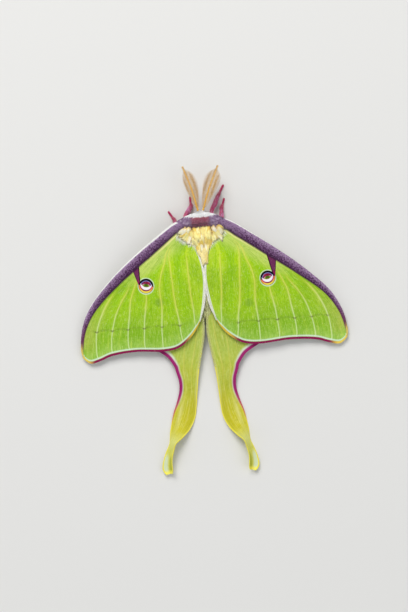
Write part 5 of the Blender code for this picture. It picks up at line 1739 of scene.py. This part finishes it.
def leg_line(place, side):
    """The middle of a leg from hip to toe, with its radius, and the shares of its joints."""
    hip, knee, ankle, toe = (np.array(p) for p in LEGS[(place, side)])
    sections = np.array(THORAX_SECTIONS)[::-1]
    half_width, half_height, centre = (np.interp(hip[1], sections[:, 0], sections[:, k]) for k in (1, 2, 3))
    start = centre - half_height * math.sqrt(1 - (hip[0] / half_width) ** 2) + HIP_SUNK
    joints = [
        (*hip, start),
        (*(hip + 0.16 * (knee - hip)), start - HIP_SUNK - 0.5),
        (*(hip + 0.6 * (knee - hip) + (side * FEMUR_BOW, 0)), (start + 2 * KNEE_HEIGHT) / 3),
        (*knee, KNEE_HEIGHT),
        (*((knee + ankle) / 2), (KNEE_HEIGHT + ANKLE_HEIGHT) / 2 + 0.15),
        (*ankle, ANKLE_HEIGHT),
        (*(ankle + 0.35 * (toe - ankle)), TOE_RADIUS),
        (*toe, TOE_RADIUS - TOE_SUNK),
    ]
    return curve_through([(*p, r) for p, r in zip(joints, LEG_RADII)])


def leg_markings():
    """Node group: pink and lilac on the thigh and shin, maroon on the foot."""
    tools, given, gives = effect("leg_markings", {"Place": "Vector"}, {"Color": "Color"})
    _, _, z = tools.drawn(given["Place"])
    patchy = tools.mottle(900, at=given["Place"])
    fur = tools.over((204, 44, 116), (222, 146, 204), tools.step(patchy, 0.46, 0.66))
    tools.set(gives["Color"], tools.over((190, 34, 92), fur, tools.step(z, 0.8, 1.8)))
    return tools.tree


def unrolled_leg(roots):
    """Places on a leg's skin laid out flat, as shares of the map's sides."""
    return np.stack([(roots[:, 0] + 15) / 30, (roots[:, 1] + 17) / 34], 1) * (1 - 2 * PATCH) + PATCH


pinks = leg_markings()
leg_skin_finish = skin_finish("leg_skin", pinks, 0.6)
leg_coat_finish = coat_finish("leg_coat", pinks, 0.75)
for number, (place, side) in enumerate(LEGS):
    line = leg_line(place, side)
    share = np.linspace(0, 1, LEG_SECTIONS)
    path = along(line, share)
    bare = eased(share, 0.72, 0.8)
    girth = path[:, 3] - 0.16 * (1 - bare)
    on_foot = (share - FOOT_STARTS) / (1 - FOOT_STARTS)
    toes = 1 + 0.12 * np.cos(2 * math.pi * FOOT_JOINTS * on_foot) * bare
    name = f"leg_{place}_{SIDE_NAME[side]}"
    limb = drawn_out(f"{name}_limb", path[:, :3], girth * toes, girth * toes, 14, 90, 0.02)
    points = points_of(limb)
    points[:, 2] = np.maximum(points[:, 2], placed((0, 0, 0.01))[2])
    move_points(limb, points)
    bpy.ops.object.shade_smooth_by_angle(angle=math.radians(60))
    dress(limb, leg_skin_finish, "leg_pink", name)
    spot, normal, _ = scattered(limb, LEG_TUFTS, 60 + number, lambda p, n: p[:, 2] > FUR_ABOVE)
    middle = line[0][::4, :3]
    near = np.argmin(np.linalg.norm(spot[:, None] - middle[None], axis=2), axis=1)
    forward = np.gradient(middle, axis=0)[near]
    length = draw.uniform(0.55, 1.1, len(spot))
    width = draw.uniform(0.09, 0.16, len(spot))
    level = spot[:, 2] < FUR_LEVEL_BELOW
    forward[:, 2] = np.where(level, np.maximum(forward[:, 2], 0), forward[:, 2])
    seed = 80 + number
    fur = tufts(f"{name}_fur", spot, normal, forward, length, width, LEG_TUFT_RISE, seed, unrolled_leg)
    dress(fur, leg_coat_finish, "leg_pink")
